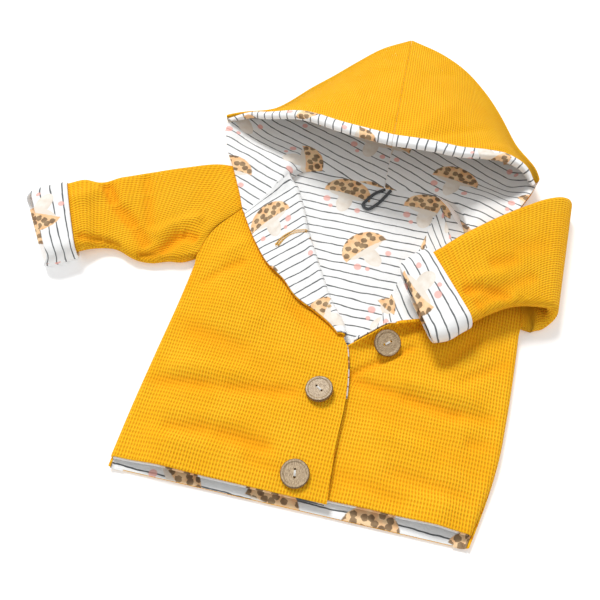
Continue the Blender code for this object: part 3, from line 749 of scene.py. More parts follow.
def knit_map(grid, anchor, sign=1):
    """u is x at the anchor column, and from there the length along the row in x and z; v is y."""
    step = np.diff(grid, axis=1)
    run = np.hypot(step[..., 0], step[..., 2])
    u = np.cumsum(np.pad(run, ((0, 0), (1, 0))), axis=1)
    u = sign * (u - u[:, anchor : anchor + 1]) + grid[:, anchor : anchor + 1, 0]
    return np.dstack([u, grid[..., 1]])


print("height of the left front's crown:", left_height(np.array([-70.0]), np.array([-60.0])).round(2))

# %% The three panels as grids
# Points of the grids: rows up the body, and columns round a side seam, across, round the roll, on the flap
BACK_ROWS, LEFT_ROWS, RIGHT_ROWS = 121, 180, 170
TURN = 9
BACK_HALF, LEFT_STRAIGHT, RIGHT_STRAIGHT = 60, 88, 96
ARC_STEPS = 8
FLAP = 24
# Soft creases that only the cloth has. columns: x, y of each end, height, half width
CREASES_LEFT = (
    (-144, -81, -85, -75, -3.2, 6), (-85, -75, -15, -63, -3.2, 6), (-144, -66, -60, -56, 2.0, 7),
    (-119, -119, -79, -112, -2.6, 6), (-79, -112, -26, -115, -2.6, 6), (-130, -102, -50, -98, 1.6, 7),
    (-130, 16, -117, 33, -2.6, 5), (-117, 33, -97, 49, -2.6, 5), (-136, 38, -100, 72, 1.6, 6),
    (-51, 16, -2, -15, -2.4, 7), (-146, -10, -138, 31, -1.8, 5), (-128, -28, -70, -36, -1.8, 8),
    (-108, 12, -62, -8, 1.6, 9), (-44, -28, -8, -42, 1.3, 6), (-48, -126, -16, -130, -1.4, 5),
    (-112, -172, -112, -120, 3.2, 24),
)
CREASES_RIGHT = (
    (0, -46, 22, -32, -2.8, 3.5), (20, -33, 42, -16, -2.8, 3.5), (40, -18, 66, 2, -2.2, 3.5),
    (18, -39, 58, -45, -3.0, 5), (58, -45, 111, -52, -3.8, 6), (105, -51, 140, -46, -2.6, 6),
    (54, -31, 122, -35, 2.2, 7), (117, 25, 88, -11, -2.4, 6), (148, 10, 104, -24, -2.0, 5),
    (60, -108, 136, -118, -2.0, 7), (40, -78, 96, -86, 1.6, 8), (24, -120, 84, -132, -1.4, 6),
    (118, -72, 146, -68, -2.0, 6), (106, -166, 108, -116, 3.0, 20),
)


def back_grid():
    """Lower face of the back: flat on the table and turned up at both side seams."""
    share = np.linspace(0, 1, BACK_ROWS)
    left = body_edge(SIDE_LEFT, ARMHOLE_LEFT, BACK_ROWS)
    right = body_edge(SIDE_RIGHT, ARMHOLE_RIGHT, BACK_ROWS)
    middle = (left + right) / 2
    middle[:, 1] += (BACK_HEM_Y - middle[0, 1]) * smooth(0.3, 0, share)
    from_left, from_right = (from_side_seam(edge, middle, BACK_HALF, -1) for edge in (left, right))
    grid = np.hstack([from_left, from_right[:, -2::-1]])
    neck = along(BACK_NECK, np.linspace(0, 1, 60))
    top = np.interp(grid[-1, :, 0], neck[:, 0], neck[:, 1])
    grid[..., 1] += (top - grid[-1, :, 1]) * smooth(0.6, 1, share)[:, None]
    return grid


def front_right_grid():
    """Outer face of the lower front, from its side seam to its free edge, a raised rim above."""
    share = np.linspace(0, 1, RIGHT_ROWS)
    edge = body_edge(SIDE_RIGHT, ARMHOLE_RIGHT, RIGHT_ROWS)
    edge[:, 1] += 9 * smooth(0.3, 0, share)
    free = along(FRONT_EDGE_RIGHT, share)
    grid = from_side_seam(edge, free[:, :2], RIGHT_STRAIGHT, 1)
    x, y, height = np.moveaxis(grid, 2, 0)
    crown = right_height(x, y) - 2 * SIDE_RADIUS + folds(x, y, CREASES_RIGHT)
    height = height + crown * smooth(0, 30, apart(grid, edge))
    grid[..., 2] = mix(height, free[:, 2:], smooth(26, 0, apart(grid, free)) ** 1.3)
    return grid


def past_the_roll(edge, roll, lapel_edge, turned, narrow):
    """Points past the roll line: an arc of constant length a whose angle t grows, then the straight flap.

    The arc runs out a sin(t) / t and rises a (1 - cos(t)) / t, and both are scaled by narrow. Where the
    angle is a half turn, the flap lies on the front.
    """
    arc = np.pi * ROLL_RADIUS
    steps = np.linspace(0, 1, ARC_STEPS + 1)[1:]
    run = arc * steps * np.sinc(turned * steps / np.pi)
    rise = arc * steps * turned * steps / 2 * np.sinc(turned * steps / 2 / np.pi) ** 2
    home = np.linalg.norm(lapel_edge - roll, axis=1)[:, None]
    reach = np.maximum(home, LAPEL_TIP) - arc * np.cos(turned / 2) ** 2
    steps = np.linspace(0, 1, FLAP + 1)[1:]
    run = np.hstack([run, run[:, -1:] + np.cos(turned) * reach * steps]) * narrow
    rise = np.hstack([rise, rise[:, -1:] + np.sin(turned) * reach * steps]) * narrow
    away = unit(mix(unit(roll - edge), unit(roll - lapel_edge), turned / np.pi))
    over = roll[:, None] + away[:, None] * run[..., None]
    under = left_height(over[..., 0], over[..., 1])
    hinge = left_height(roll[:, 0], roll[:, 1])[:, None]
    lying = under + np.minimum(rise, 2 * ROLL_RADIUS) + (LAPEL_AIR - ROLL_RADIUS) * smooth(0, 12, -run)
    settled = np.maximum(smooth(0.75, 1.0, turned / np.pi), smooth(0.15, 0.0, turned / np.pi))
    return np.dstack([over, mix(hinge + rise, lying, settled)])


def front_left_grid():
    """Outer face of the upper front: flat to its edge below, and rolled into a lapel above.

    The strip past the roll line is narrow where the lapel begins, so that the edge runs on from the
    flat front to the roll in one line.
    """
    share = np.linspace(0, 1, LEFT_ROWS)
    above = np.clip((share - BREAK) / (1 - BREAK), 0, 1) ** 1.35
    flat = (share < BREAK)[:, None]
    edge = body_edge(SIDE_LEFT, ARMHOLE_LEFT, LEFT_ROWS)
    edge[:, 1] += 7 * smooth(0.3, 0, share)
    low = along(FRONT_EDGE_LEFT, share / BREAK)
    strip = mix(LAPEL_STRIP, LAPEL_TIP, smooth(0.6 * BREAK, BREAK, share))[:, None]
    roll = np.where(flat, low - strip * (1, 0), along(ROLL_LEFT, above))
    lapel_edge = np.where(flat, roll - strip * (1, 0), along(LAPEL_EDGE_LEFT, above))
    turned = np.pi * smooth(0.0, LAPEL_TURN, above)[:, None]
    narrow = mix(0.3, 1, smooth(0, 0.03, np.abs(share - BREAK)))[:, None]
    grid = from_side_seam(edge, roll, LEFT_STRAIGHT, 1)
    x, y, height = np.moveaxis(grid, 2, 0)
    crown = left_height(x, y) - 2 * SIDE_RADIUS
    small = folds(x, y, CREASES_LEFT) * smooth(10, 40, curve_x(ROLL_LEFT, y) - x)
    near_edge = mix(smooth(0, 30, apart(grid, edge)), 1, smooth(95, 120, edge[:, 1:]))
    grid[..., 2] += (crown + small) * near_edge
    return np.hstack([grid, past_the_roll(edge, roll, lapel_edge, turned, narrow)])


print("creases on the fronts:", len(CREASES_LEFT) + len(CREASES_RIGHT))

# %% The back and its lining
back = back_grid()
back_up = normals(back)
back_map = knit_map(back, back.shape[1] // 2)
cloth("back_knit", back, back + back_up * WAFFLE, back_map, KNIT, "back")
part = np.s_[:, TURN - 1 : 1 - TURN]
shown = (back + back_up * LINED)[part]
hidden = (back + back_up * INSIDE)[part]
to_neck = unit(shown[-1] - shown[-2]) * 1.1
shown[-1] += to_neck
hidden[-1] += to_neck
cloth("back_jersey", shown, hidden, back_map[part], STRIPED, "back_lining")

# %% The upper front
left = front_left_grid()
up = normals(left)
left_map = knit_map(left, TURN)
creased = fold_depth(folds(left[..., 0], left[..., 1], FOLDS_LEFT + CREASES_LEFT))
creased *= np.arange(left.shape[1]) < TURN + LEFT_STRAIGHT
cloth("front_left_knit", left, left - up * WAFFLE, left_map, KNIT, "front_left", depth=creased)

# %% The lapel's lining, with some rows more that take it on to the hood's seam
HOOD_ROWS_ON = 12
TO_SEAM = 12  # length of these rows on the cloth's map
first_row = round(0.476 * (LEFT_ROWS - 1))
first_column = TURN + round(LEFT_STRAIGHT * 7 / 8) - 1
part = np.s_[first_row:, first_column:]
shown = (left - up * LINED)[part]
hidden = (left - up * INSIDE)[part]
across_flap = (np.arange(shown.shape[1]) + FLAP - shown.shape[1]) / (FLAP - 1)
seam_line = along(NECK_LEFT[:4], 0.84 * (1 - np.clip(across_flap, 0, 1))) + (-0.6, 0.6, 3.6)
further = (seam_line - shown[-1]) * smooth(-0.1, 0.02, across_flap)[:, None]
to_hood = np.linspace(0, 1, HOOD_ROWS_ON + 1)[1:, None, None]
lapel_face = np.concatenate([shown, shown[-1] + further * to_hood])
hidden = np.concatenate([hidden, hidden[-1] + (further + (0, 0, 0.3)) * to_hood])
lapel_map = flat_map(lapel_face)
roll_run = run_along(left[first_row:, TURN + LEFT_STRAIGHT])
lapel_map[..., 1] = np.r_[roll_run, roll_run[-1] + TO_SEAM * to_hood.ravel()][:, None] + 3
cloth("lapel_jersey", lapel_face, hidden, lapel_map, STRIPED, "front_left_lining")

# %% The lower front
right = front_right_grid()
right_up = normals(right)
right_map = knit_map(right, TURN, -1)
creased = fold_depth(folds(right[..., 0], right[..., 1], FOLDS_RIGHT + CREASES_RIGHT))
knit_back = right + right_up * WAFFLE
cloth("front_right_knit", right, knit_back, right_map, KNIT, "front_right", depth=creased)

# %% [markdown]
# The fronts are lined too, but only the rim of their lining shows, as a fine white line below the
# yellow hem and along the overlapping edge. A narrow strip under each front gives that line.


# %% Rims of the fronts' lining
def lining_rim(name, grid, inwards, uv):
    """A strip of jersey under a front's border; its first row peeps out by a millimetre."""
    shown = grid + inwards * (WAFFLE + 0.1)
    hidden = grid + inwards * (WAFFLE + 0.1 + JERSEY)
    peep = unit(shown[0] - shown[1]) * 1.1
    shown[0] += peep
    hidden[0] += peep
    cloth(name, shown, hidden, uv, STRIPED, None)


HEM_ROWS = 12
HEM_RIMS = (
    ("hem_rim_left", left, -up, left_map, np.s_[2 : TURN + LEFT_STRAIGHT + 26]),
    ("hem_rim_right", right, right_up, right_map, np.s_[2:-14]),
    ("hem_corner_left", back, back_up, back_map, np.s_[1 : TURN + 3]),
    ("hem_corner_right", back, back_up, back_map, np.s_[-TURN - 3 : -1]),
)
for name, grid, inwards, uv, columns in HEM_RIMS:
    part = np.s_[:HEM_ROWS, columns]
    lining_rim(name, grid[part], inwards[part], uv[part])

EDGE_RIM = (0.29, 0.452)  # shares of the upper front's height
edge_rows = slice(*(round(end * (LEFT_ROWS - 1)) for end in EDGE_RIM))
strip = (grid[edge_rows, -1:-16:-1].swapaxes(0, 1) for grid in (left, -up, left_map))
lining_rim("edge_rim_left", *strip)

# %% [markdown]
# ## The lining behind the right front's rim
#
# The right front's upper edge stands up like a low wall round the neck opening, and its lining
# comes down behind it to a crease on the back's lining. The surface between the rim and the crease
# sinks along a power curve, steep at the bottom of the opening and gentle at the shoulder.


# %% Lining of the right front
RIM_LINING_COLUMNS = 44


def rim_lining_grid(front):
    """Visible face of the lining: from behind the rim down to the crease, as a power of the share."""
    start_row = round(RIM_START * (len(front) - 1))
    rim = front[start_row:, -1]
    inner = (front + normals(front) * WAFFLE)[start_row:, -1]
    share = np.linspace(0, 1, len(rim))
    heading = unit(np.gradient(rim[:, :2], axis=0))
    inwards = np.column_stack([-heading[:, 1], heading[:, 0]])
    wall_end = np.maximum(np.sum((inner - rim)[:, :2] * inwards, axis=1, keepdims=True), 0)
    start = rim[:, :2] + inwards * (wall_end + 2 * GAP + JERSEY)
    crease = along(CREASE_RIGHT, share)
    w = np.linspace(0, 1, RIM_LINING_COLUMNS) ** 1.5
    plan = mix(start[:, None], crease[:, None], w[:, None])
    low = LINED + GAP + JERSEY
    steep = mix(7.0, 1.7, smooth(0.15, 0.6, share))[:, None]
    height = low + (rim[:, 2:] - 0.5 - low) * (1 - w) ** steep
    return np.dstack([plan, height])


shown = rim_lining_grid(right)
hidden = shown + normals(shown) * JERSEY
flap_map = flat_map(shown)
flap_map[..., 1] = flap_map[:, :1, 1]
cloth("flap_jersey", shown, hidden, flap_map, STRIPED, "front_right_lining")

# %% [markdown]
# ## The hood
#
# The hood is two matching pieces that are sewn along the middle. Laid down, it is a bag: the lower
# sheet lies on the table from the neck to the far outline, turns over there, and comes back on top
# to the rim, which stands up over the neck opening. The lining follows inside and is turned out
# over the rim as a soft band. Each row of the grid goes once round this bag.


# %% The hood's outer face
HOOD_ROWS = 110
HOOD_COLUMNS = (60, 12, 70)  # on the table, round the far fold, back to the rim
# Soft creases. columns: x, y of each end, height, half width
CREASES_HOOD = (
    (-60, 196, -100, 240, -1.8, 6), (-30, 190, -44, 262, 1.8, 9), (20, 186, 60, 262, 1.8, 9),
    (34, 190, 92, 240, -2.0, 6), (84, 196, 120, 226, 1.6, 6), (-14, 300, -40, 330, 1.4, 8),
    (16, 296, 50, 322, -1.6, 7), (-90, 204, -128, 222, 1.4, 5), (2, 182, 6, 210, -1.4, 7),
)


def hood_grid(edge, neck, far, rim, clear, side):
    """Outer face of one half of the hood; each row is a loop from the neck round to the rim.

    A row runs back on the table, turns over at the far outline in a half circle and returns to the
    rim. clear is the pair of y between which the lower sheet comes down to the table.
    """
    share = np.linspace(0, 1, HOOD_ROWS)
    start = np.maximum(along(edge + neck[1:], share), (-1000, -1000, 0))
    end = along(rim, share)
    outline = along(far, share)
    radius = mix(HOOD_CORNER_RADIUS, HOOD_RADIUS, smooth(0, 0.3, share))[:, None]
    axis = mix(start[0, 2] + HOOD_CORNER_RADIUS, HOOD_RADIUS, smooth(0, 0.25, share))[:, None]
    back = unit(outline - (start + end)[:, :2] / 2)
    turn_at = outline - back * radius
    lower, turn, upper = HOOD_COLUMNS
    w = np.linspace(0, 1, lower)
    plan = mix(start[:, None, :2], turn_at[:, None], w[:, None])
    begin = np.maximum(start[:, 1], clear[0])[:, None]
    down = smooth(begin, clear[1], plan[..., 1])
    sheet = np.dstack([plan, mix(start[:, 2:], axis - radius, np.maximum(down, smooth(0.7, 1, w)))])
    angle = np.linspace(-90, 90, turn + 1)[1:] * np.pi / 180
    plan = turn_at[:, None] + back[:, None] * radius[..., None] * np.cos(angle)[:, None]
    bend = np.dstack([plan, axis + radius * np.sin(angle)])
    w = np.linspace(0, 1, upper)[1:]
    plan = mix(turn_at[:, None], end[:, None, :2], w[:, None])
    top = axis + radius
    height = mix(top, end[:, 2:], w**1.25) + 0.12 * (end[:, 2:] - top) * np.sin(np.pi * w)
    height = height + folds(plan[..., 0], plan[..., 1], CREASES_HOOD) * smooth(0, 0.12, w) * smooth(1, 0.9, w)
    grid = np.hstack([sheet, bend, np.dstack([plan, height])])
    grid[..., 0] += side * SEAM_AIR / 2 * share[:, None] ** 6
    return grid


def hood_map(grid, side):
    """u along the seam direction, counted from the rim; v along the rim, counted from the middle."""
    made = flat_map(grid)
    u = made[..., 0] - made[:, -1:, 0]
    v = side * (made[-1:, :, 1] - made[..., 1])
    return np.dstack([u, v])


def turned_plan(grid, degrees):
    """A flat map that is the plan itself, turned about the origin."""
    angle = np.radians(degrees)
    x, y = grid[..., 0], grid[..., 1]
    return np.dstack([x * np.cos(angle) - y * np.sin(angle) + 31, x * np.sin(angle) + y * np.cos(angle) + 9])


def hood_normals(outer, side):
    """Normals out of the bag; along the middle seam they have no part across the seam."""
    normal = normals(outer)
    far = outer[-1, :, 1].argmax()
    along_seam = unit(outer[-1, far] - outer[-1, 0]) * (1, 1, 0)
    across = unit(np.array((along_seam[1], -along_seam[0], 0)))
    normal[-1] = unit(normal[-1] - across * (normal[-1] @ across)[:, None])
    return -side * normal


print("hood grid:", HOOD_ROWS, "rows of", sum(HOOD_COLUMNS) - 1, "points")

# %% The hood's lining
BAND = 25  # columns of the band that turns over the rim
FALL = 7  # columns of the fall to the back's lining
FALL_OUT = 2.2


def turned_out(outer, normal):
    """Both faces of the band: RIM_TURN carried along the rim, and smaller near the front edge."""
    forward = unit(outer[:, -1] - outer[:, -2])[:, None]
    size = mix(0.3, 1.0, smooth(0, 0.2, np.linspace(0, 1, len(outer))))[:, None, None]
    turn = along(RIM_TURN, np.linspace(0, 1, BAND))[..., None]
    edge = outer[:, -1:]
    up = normal[:, -1:]
    shown, hidden = (edge + (forward * turn[:, i] + up * turn[:, i + 1]) * size for i in (0, 2))
    return shown, hidden


def lining_map(outer, own_map, shown, slant):
    """The plan turned by slant degrees on the lower sheet, and square to the rim above and on the band."""
    band = np.cumsum(steps_between(shown[:, -BAND - 1 :], 1), axis=1)
    v = np.hstack([own_map[..., 1], own_map[:, [-1] * BAND, 1]])
    made = np.dstack([np.hstack([own_map[..., 0], band]), v])
    lower = HOOD_COLUMNS[0]
    made[:, :lower] = turned_plan(outer[:, :lower], slant)
    return made


def fall_to_back(outer, shown, at_neck, slant, meets):
    """Both faces and the map of the short steep fall between the lining and the back's lining."""
    inwards = unit((shown[:, :1] - shown[:, 1:2]) * (1, 1, 0))
    drop = np.maximum(shown[:, :1, 2:] - LINED - GAP, 0) * smooth(*meets, shown[:, :1, 1:2])
    part_way = np.linspace(1, 0, FALL + 1)[:-1, None] * at_neck[:, None, None]
    face = shown[:, :1] + (inwards * FALL_OUT - drop * (0, 0, 1)) * part_way
    back = face + mix(np.array((0, 0, -1.0)), -inwards, part_way) * JERSEY
    return face, back, turned_plan(outer[:, :1] + inwards * (FALL_OUT + drop) * part_way, slant)


def hood_half(name, outer, neck, side, slant, meets):
    """One half of the hood in waffle knit, and its lining with the band that turns over the rim.

    The stripes lie straight on the lower sheet, at slant degrees, and from the far fold on they run
    square to the rim. Between the two y of `meets` the lining starts to reach down to the back's.
    """
    normal = hood_normals(outer, side)
    own_map = hood_map(outer, side)
    cloth(name + "_knit", outer, outer - normal * WAFFLE, own_map[..., ::-1], KNIT, name)
    band, band_back = turned_out(outer, normal)
    shown = np.hstack([outer - normal * LINED, band])
    hidden = np.hstack([outer - normal * INSIDE, band_back])
    at_neck = np.arange(len(outer)) > np.linalg.norm(outer[:, 0, :2] - neck[0][:2], axis=1).argmin()
    closer = unit(shown[:, 0] - shown[:, 1]) * 1.1 * at_neck[:, None]
    shown[:, 0] += closer
    hidden[:, 0] += closer
    fall = fall_to_back(outer, shown, at_neck, slant, meets)
    own = (shown, hidden, lining_map(outer, own_map, shown, slant))
    shown, hidden, uv = (np.hstack(pair) for pair in zip(fall, own))
    cloth(name + "_jersey", shown, hidden, uv, STRIPED, name + "_lining", cut=flat_map(shown))


# %% The hood's two halves
# columns: name, four outlines, y where the lower sheet is down, side, slant, y where the linings meet
HOOD_HALVES = (
    ("hood_left", HOOD_EDGE_LEFT, NECK_LEFT, HOOD_FAR_LEFT, RIM_LEFT, (158, 208), -1, 20, (148, 160)),
    ("hood_right", HOOD_EDGE_RIGHT, NECK_RIGHT, HOOD_FAR_RIGHT, RIM_RIGHT, (160, 204), 1, 24, (106, 128)),
)
for name, edge, neck, far, rim, clear, side, slant, meets in HOOD_HALVES:
    hood_half(name, hood_grid(edge, neck, far, rim, clear, side), neck, side, slant, meets)

# %% [markdown]
# ## Sleeves and cuffs
#
# A sleeve that lies flat is a tube whose section is a flat oval. The tables hold one section for
# every few centimetres. The left sleeve lies straight, and the right one is folded over at the
# elbow, so its sections lean over step by step until they are upside down. A smooth curve is run
# through the matching points of all the sections, which gives the rows in between.


# %% Sleeves and cuffs as tubes
FLAT = 45  # points along the flat of a section
END = 13  # and round each of its ends
SLEEVE_HEAD = 11.6  # height of a sleeve at the armhole
ARMHOLE_AIR = 0.25
CUFF_HIDES = 6  # rows of a sleeve
CUFF_ROWS = 40


def flat_section(half_width, half_height):
    """A flat oval as pairs (across, up): nearly straight above and below, half circles at both ends."""
    spread = np.linspace(-1, 1, FLAT + 2)[1:-1]
    angle = np.linspace(-90, 90, END) * np.pi / 180
    inner = half_width - half_height
    right = np.column_stack([inner + half_height * np.cos(angle), half_height * np.sin(angle)])
    top = np.column_stack([-spread * inner, half_height * (1 + 0.14 * (1 - spread**2))])
    bottom = np.column_stack([spread * inner, np.full(FLAT, -half_height)])
    return np.roll(np.vstack([right, top, -right, bottom]), -(FLAT + END + END // 2), axis=0)


def tube_sections(rows, first=None):
    """One flat oval for each row of a table, after the first section if there is one."""
    sections = [] if first is None else [first]
    for x0, y0, z0, x1, y1, z1, thickness, lean in rows:
        low, high = np.array((x0, y0, z0)), np.array((x1, y1, z1))
        across = unit(high - low)
        up = np.array((-np.sin(np.radians(lean)), 0, np.cos(np.radians(lean))))
        up = unit(up - across * (up @ across))
        pairs = flat_section(np.linalg.norm(high - low) / 2, thickness / 2)
        sections.append((low + high) / 2 + pairs[:, :1] * across + pairs[:, 1:] * up)
    return np.stack(sections)


def armhole_section(armhole, side):
    """First section of a sleeve: its upper and lower edges both follow the armhole in plan."""
    rows = np.asarray(armhole, float)
    length = np.linalg.norm(rows[-1] - rows[0])
    half = SLEEVE_HEAD / 2
    across, up = flat_section(length / 2, half).T
    share = across / length + 0.5
    plan = along(rows, share) - (side * ARMHOLE_AIR, 0)
    flatter = 1 - 0.24 * smooth(0.6, 1.0, share)
    return np.column_stack([plan, (np.clip(up, -half, half) + half) * flatter])


def tube(sections, rows):
    """A smooth curve through the matching points of all sections, read at even shares."""
    grid = along(sections.reshape(len(sections), -1), np.linspace(0, 1, rows))
    return grid.reshape(rows, -1, 3)


def tube_map(grid):
    """u is the length round the tube from its far side, v the mean length along the face it is on."""
    made = flat_map(grid, ring=True)
    made[..., 0] -= made[:, -1:, 0] / 2
    lower = np.s_[END // 2 + 1 : END // 2 + 1 + FLAT]
    upper = np.s_[END // 2 + 1 + FLAT + END : -END // 2]
    column = np.arange(made.shape[1])
    on_upper = smooth(lower.stop, upper.start, column) + 0.5 * smooth(END / 2, 0, column)
    on_upper -= 0.5 * smooth(len(column) - 1 - END / 2, len(column) - 1, column)
    below, above = (made[:, part, 1].mean(axis=1, keepdims=True) for part in (lower, upper))
    made[..., 1] = mix(below, above, on_upper)
    return made


print("points round a sleeve:", 2 * (FLAT + END))

# %% The sleeves and cuffs themselves
# Creases of the sleeves' upper faces. columns: x, y of each end, height, half width
CREASES_SLEEVE_LEFT = (
    (-251, 98, -233, 77, -5.0, 6), (-233, 77, -205, 57, -4.6, 6), (-205, 57, -188, 40, -4.0, 6),
    (-217, 117, -208, 97, -2.4, 5), (-208, 97, -193, 60, -2.6, 5), (-238, 108, -222, 74, 2.4, 7),
    (-194, 28, -177, 36, -4.6, 5), (-177, 36, -162, 63, -5.4, 5), (-162, 63, -147, 61, -4.4, 5),
    (-184, 52, -170, 73, 3.4, 6), (-170, 73, -150, 84, 3.2, 6),
    (-252, 32, -228, 37, -4.2, 4), (-228, 37, -213, 32, -3.6, 4), (-272, 66, -249, 89, 3.0, 9),
)
CREASES_SLEEVE_RIGHT = (
    (112, 82, 136, 96, -2.6, 6), (104, 36, 136, 71, -2.6, 6), (136, 71, 154, 84, -2.2, 6),
    (94, 50, 112, 58, -4.0, 5), (112, 58, 134, 54, -3.6, 5), (100, 64, 128, 76, 2.4, 6),
    (116, 30, 68, 96, -1.4, 3), (86, 96, 130, 130, 1.8, 9), (128, 104, 160, 120, -1.6, 8),
)


def sleeve(name, table, armhole, side, rows, creases, node):
    """A sleeve of waffle knit round its sections, with creases pressed into the face that lies on top.

    Its last rows are left out, because in the mouth of the cuff only the lining shows.
    """
    grid = tube(tube_sections(table, armhole_section(armhole, side)), rows)[:-CUFF_HIDES]
    uv = tube_map(grid)
    out = side * normals(grid, ring=True)
    press = folds(grid[..., 0], grid[..., 1], creases) * smooth(-0.1, 0.6, out[..., 2])
    press = press * smooth(0, 16, uv[:, :-1, 1]) * (grid[..., 2] > 5)
    grid = grid + out * press[..., None]
    grid[..., 2] = np.maximum(grid[..., 2], 0)
    back = grid - out * WAFFLE
    cloth(name, grid, back, uv, KNIT, node, ring=True, depth=fold_depth(press))


def cuff(name, table, side, node, set_back):
    """A turned-up cuff: the lining's right side shows, with its stripes round the tube.

    At the mouth the upper face ends `set_back` millimetres before the lower one, or past it.
    """
    grid = tube(tube_sections(table), CUFF_ROWS)
    upper = smooth(-0.4, 0.9, side * normals(grid, ring=True)[..., 2:])
    towards_mouth = unit(grid[-1].mean(axis=0) - grid[0].mean(axis=0))
    share = np.linspace(0, 1, CUFF_ROWS)[:, None, None]
    grid = grid - towards_mouth * upper * set_back * share**1.5
    out = side * normals(grid, ring=True)
    cloth(name, grid, grid - out * CUFF_WALL, tube_map(grid), STRIPED, node, ring=True)


sleeve("sleeve_left_knit", SLEEVE_LEFT, ARMHOLE_LEFT, -1, 150, CREASES_SLEEVE_LEFT, "sleeve_left")
sleeve("sleeve_right_knit", SLEEVE_RIGHT, ARMHOLE_RIGHT, 1, 180, CREASES_SLEEVE_RIGHT, "sleeve_right")
cuff("cuff_left_jersey", CUFF_LEFT, -1, "cuff_left", 7.0)
cuff("cuff_right_jersey", CUFF_RIGHT, 1, "cuff_right", -3.5)

# %% [markdown]
# ## Cord, thread and buttons
#
# Small things sell a garment: the loop in the neck is a thick twisted cord, each button is a slice
# of coconut shell that is sewn on with white thread through two holes, and the buttonhole in the
# lapel is a dense row of yellow stitches. A cord or thread is a circle carried along a path.


# %% A round strand along a path
def strand(name, path, radius, finish, around):
    """A circle carried along a path of points in millimetres; its ends close in small domes."""
    path = np.asarray(path, float)
    heading = unit(np.gradient(path, axis=0))
    side = unit(np.cross(heading, (0.013, 0.021, 1.0)))
    top = np.cross(side, heading)
    angle = np.linspace(0, 2 * np.pi, around, endpoint=False)[:, None]
    circle = side[:, None] * np.cos(angle) + top[:, None] * np.sin(angle)
    size = np.full((len(path), 1, 1), float(radius))
    size[[0, -1]] *= 0.15
    grid = path[:, None] + circle * size
    turn = np.linspace(0, 1, around + 1) * 2 * np.pi * radius
    uv = np.dstack(np.meshgrid(turn, run_along(path)))
    number = np.arange(len(path) * around).reshape(-1, around)
    number = np.hstack([number, number[:, :1]])
    tips = np.full((2, around), len(path) * around) + [[0], [1]]
    first = np.column_stack([number[0, :-1], number[0, 1:], tips[0]])
    last = np.column_stack([number[-1, 1:], number[-1, :-1], tips[1]])
    faces = quads(number).tolist() + first.tolist() + last.tolist()
    points = np.vstack([grid.reshape(-1, 3), path[0], path[-1]])
    corners = np.concatenate([quads(uv).reshape(-1, 2), np.zeros((6 * around, 2))])
    return new_piece(name, points, faces, corners, finish)


def thread_finish(name, colour, groove_shade, twist, depth):
    """Thread or cord: slanted strands from a sine of the place round it plus the place along it, with painted
    shade in the grooves between them.
    """
    made, shader = blank(name, {"Roughness": 0.7, "Sheen Weight": 0.2})
    place = cloth_place(made)
    u, v = place.parts()
    ply = (u * twist[0] + v * twist[1]).wave() * 0.5 + 0.5
    # painted shade: the colour darkens in the grooves between the twisted strands
    into(shader, "Base Color", ply.colours(groove_shade, colour))
    into(shader, "Normal", (ply + place.noise(3.0) * 0.3).bump(depth, 0.8))
    return made, "loop_cord"


# columns: colour of the strands and their painted shade in the grooves, turns of the twist round and along
# it, depth of the bump in metres
CORD = thread_finish("grey cord", (0.09, 0.10, 0.11, 1), (0.03, 0.034, 0.038, 1), (2.0, 3.6), 0.0003)
FINE = ((6.0, 9.0), 0.00004)
WHITE_THREAD = thread_finish("white thread", (0.9, 0.89, 0.86, 1), (0.74, 0.73, 0.70, 1), *FINE)
YELLOW_THREAD = thread_finish("yellow thread", (1.0, 0.60, 0.05, 1), (0.96, 0.45, 0.02, 1), *FINE)
path = np.column_stack([along(LOOP, np.linspace(0, 1, 90)), np.full(90, LINED + GAP + LOOP_RADIUS)])
loop_piece = strand("hanger_loop_cord", path, LOOP_RADIUS, CORD, around=16)
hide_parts("hanger_loop")
print("cord length:", round(run_along(path)[-1]), "mm")

# %% [markdown]
# A buttonhole is a slit between two dense rows of zigzag stitches. One lies open on the lapel, and
# the end of the next one shows beside the roll line. The stitches follow a curve on the lapel, and
# each point takes its height from the nearest point of the lapel's own grid.


# %% Buttonhole stitches
STITCH_LIFT = 0.25
STITCH_RADIUS = 0.3


def on_lapel(points):
    """Points in plan lifted just above the nearest point of the lapel's visible grid."""
    flap = lapel_face[:, -FLAP - 2 :].reshape(-1, 3)
    nearest = np.linalg.norm(points[:, None] - flap[None, :, :2], axis=2).argmin(axis=1)
    return np.column_stack([points, flap[nearest, 2] + STITCH_LIFT])


def zigzag(name, line, offset, reach, pitch):
    """A strand that swings between offset - reach and offset + reach beside a smooth line."""
    count = int(run_along(line)[-1] / pitch) * 2
    middle = along(line, np.linspace(0, 1, count + 1))
    heading = unit(np.gradient(middle, axis=0))
    side = np.column_stack([-heading[:, 1], heading[:, 0]])
    swing = offset + reach * (np.arange(count + 1) % 2 * 2 - 1)
    path = on_lapel(middle + side * swing[:, None])
    strand(name, path, STITCH_RADIUS, YELLOW_THREAD, around=6)


BUTTONHOLE = ((-74, 70), (-72, 78), (-67, 87), (-60, 92.5), (-53, 95))
# columns: name, line, offset, reach, pitch
STITCHES = (
    ("buttonhole_upper", BUTTONHOLE, 1.1, 0.8, 0.75),
    ("buttonhole_lower", BUTTONHOLE, -1.1, 0.8, 0.75),
    ("buttonhole_end_a", ((-76, 69.5), (-73, 71)), 0, 2.0, 0.6),
    ("buttonhole_end_b", ((-54, 94.5), (-51, 95.5)), 0, 1.9, 0.6),
    ("next_buttonhole", ((-15.5, 21), (-12.5, 23.5)), 0, 1.6, 0.7),
)
for row in STITCHES:
    zigzag(*row)
print("buttonhole of", round(run_along(BUTTONHOLE)[-1]), "mm")

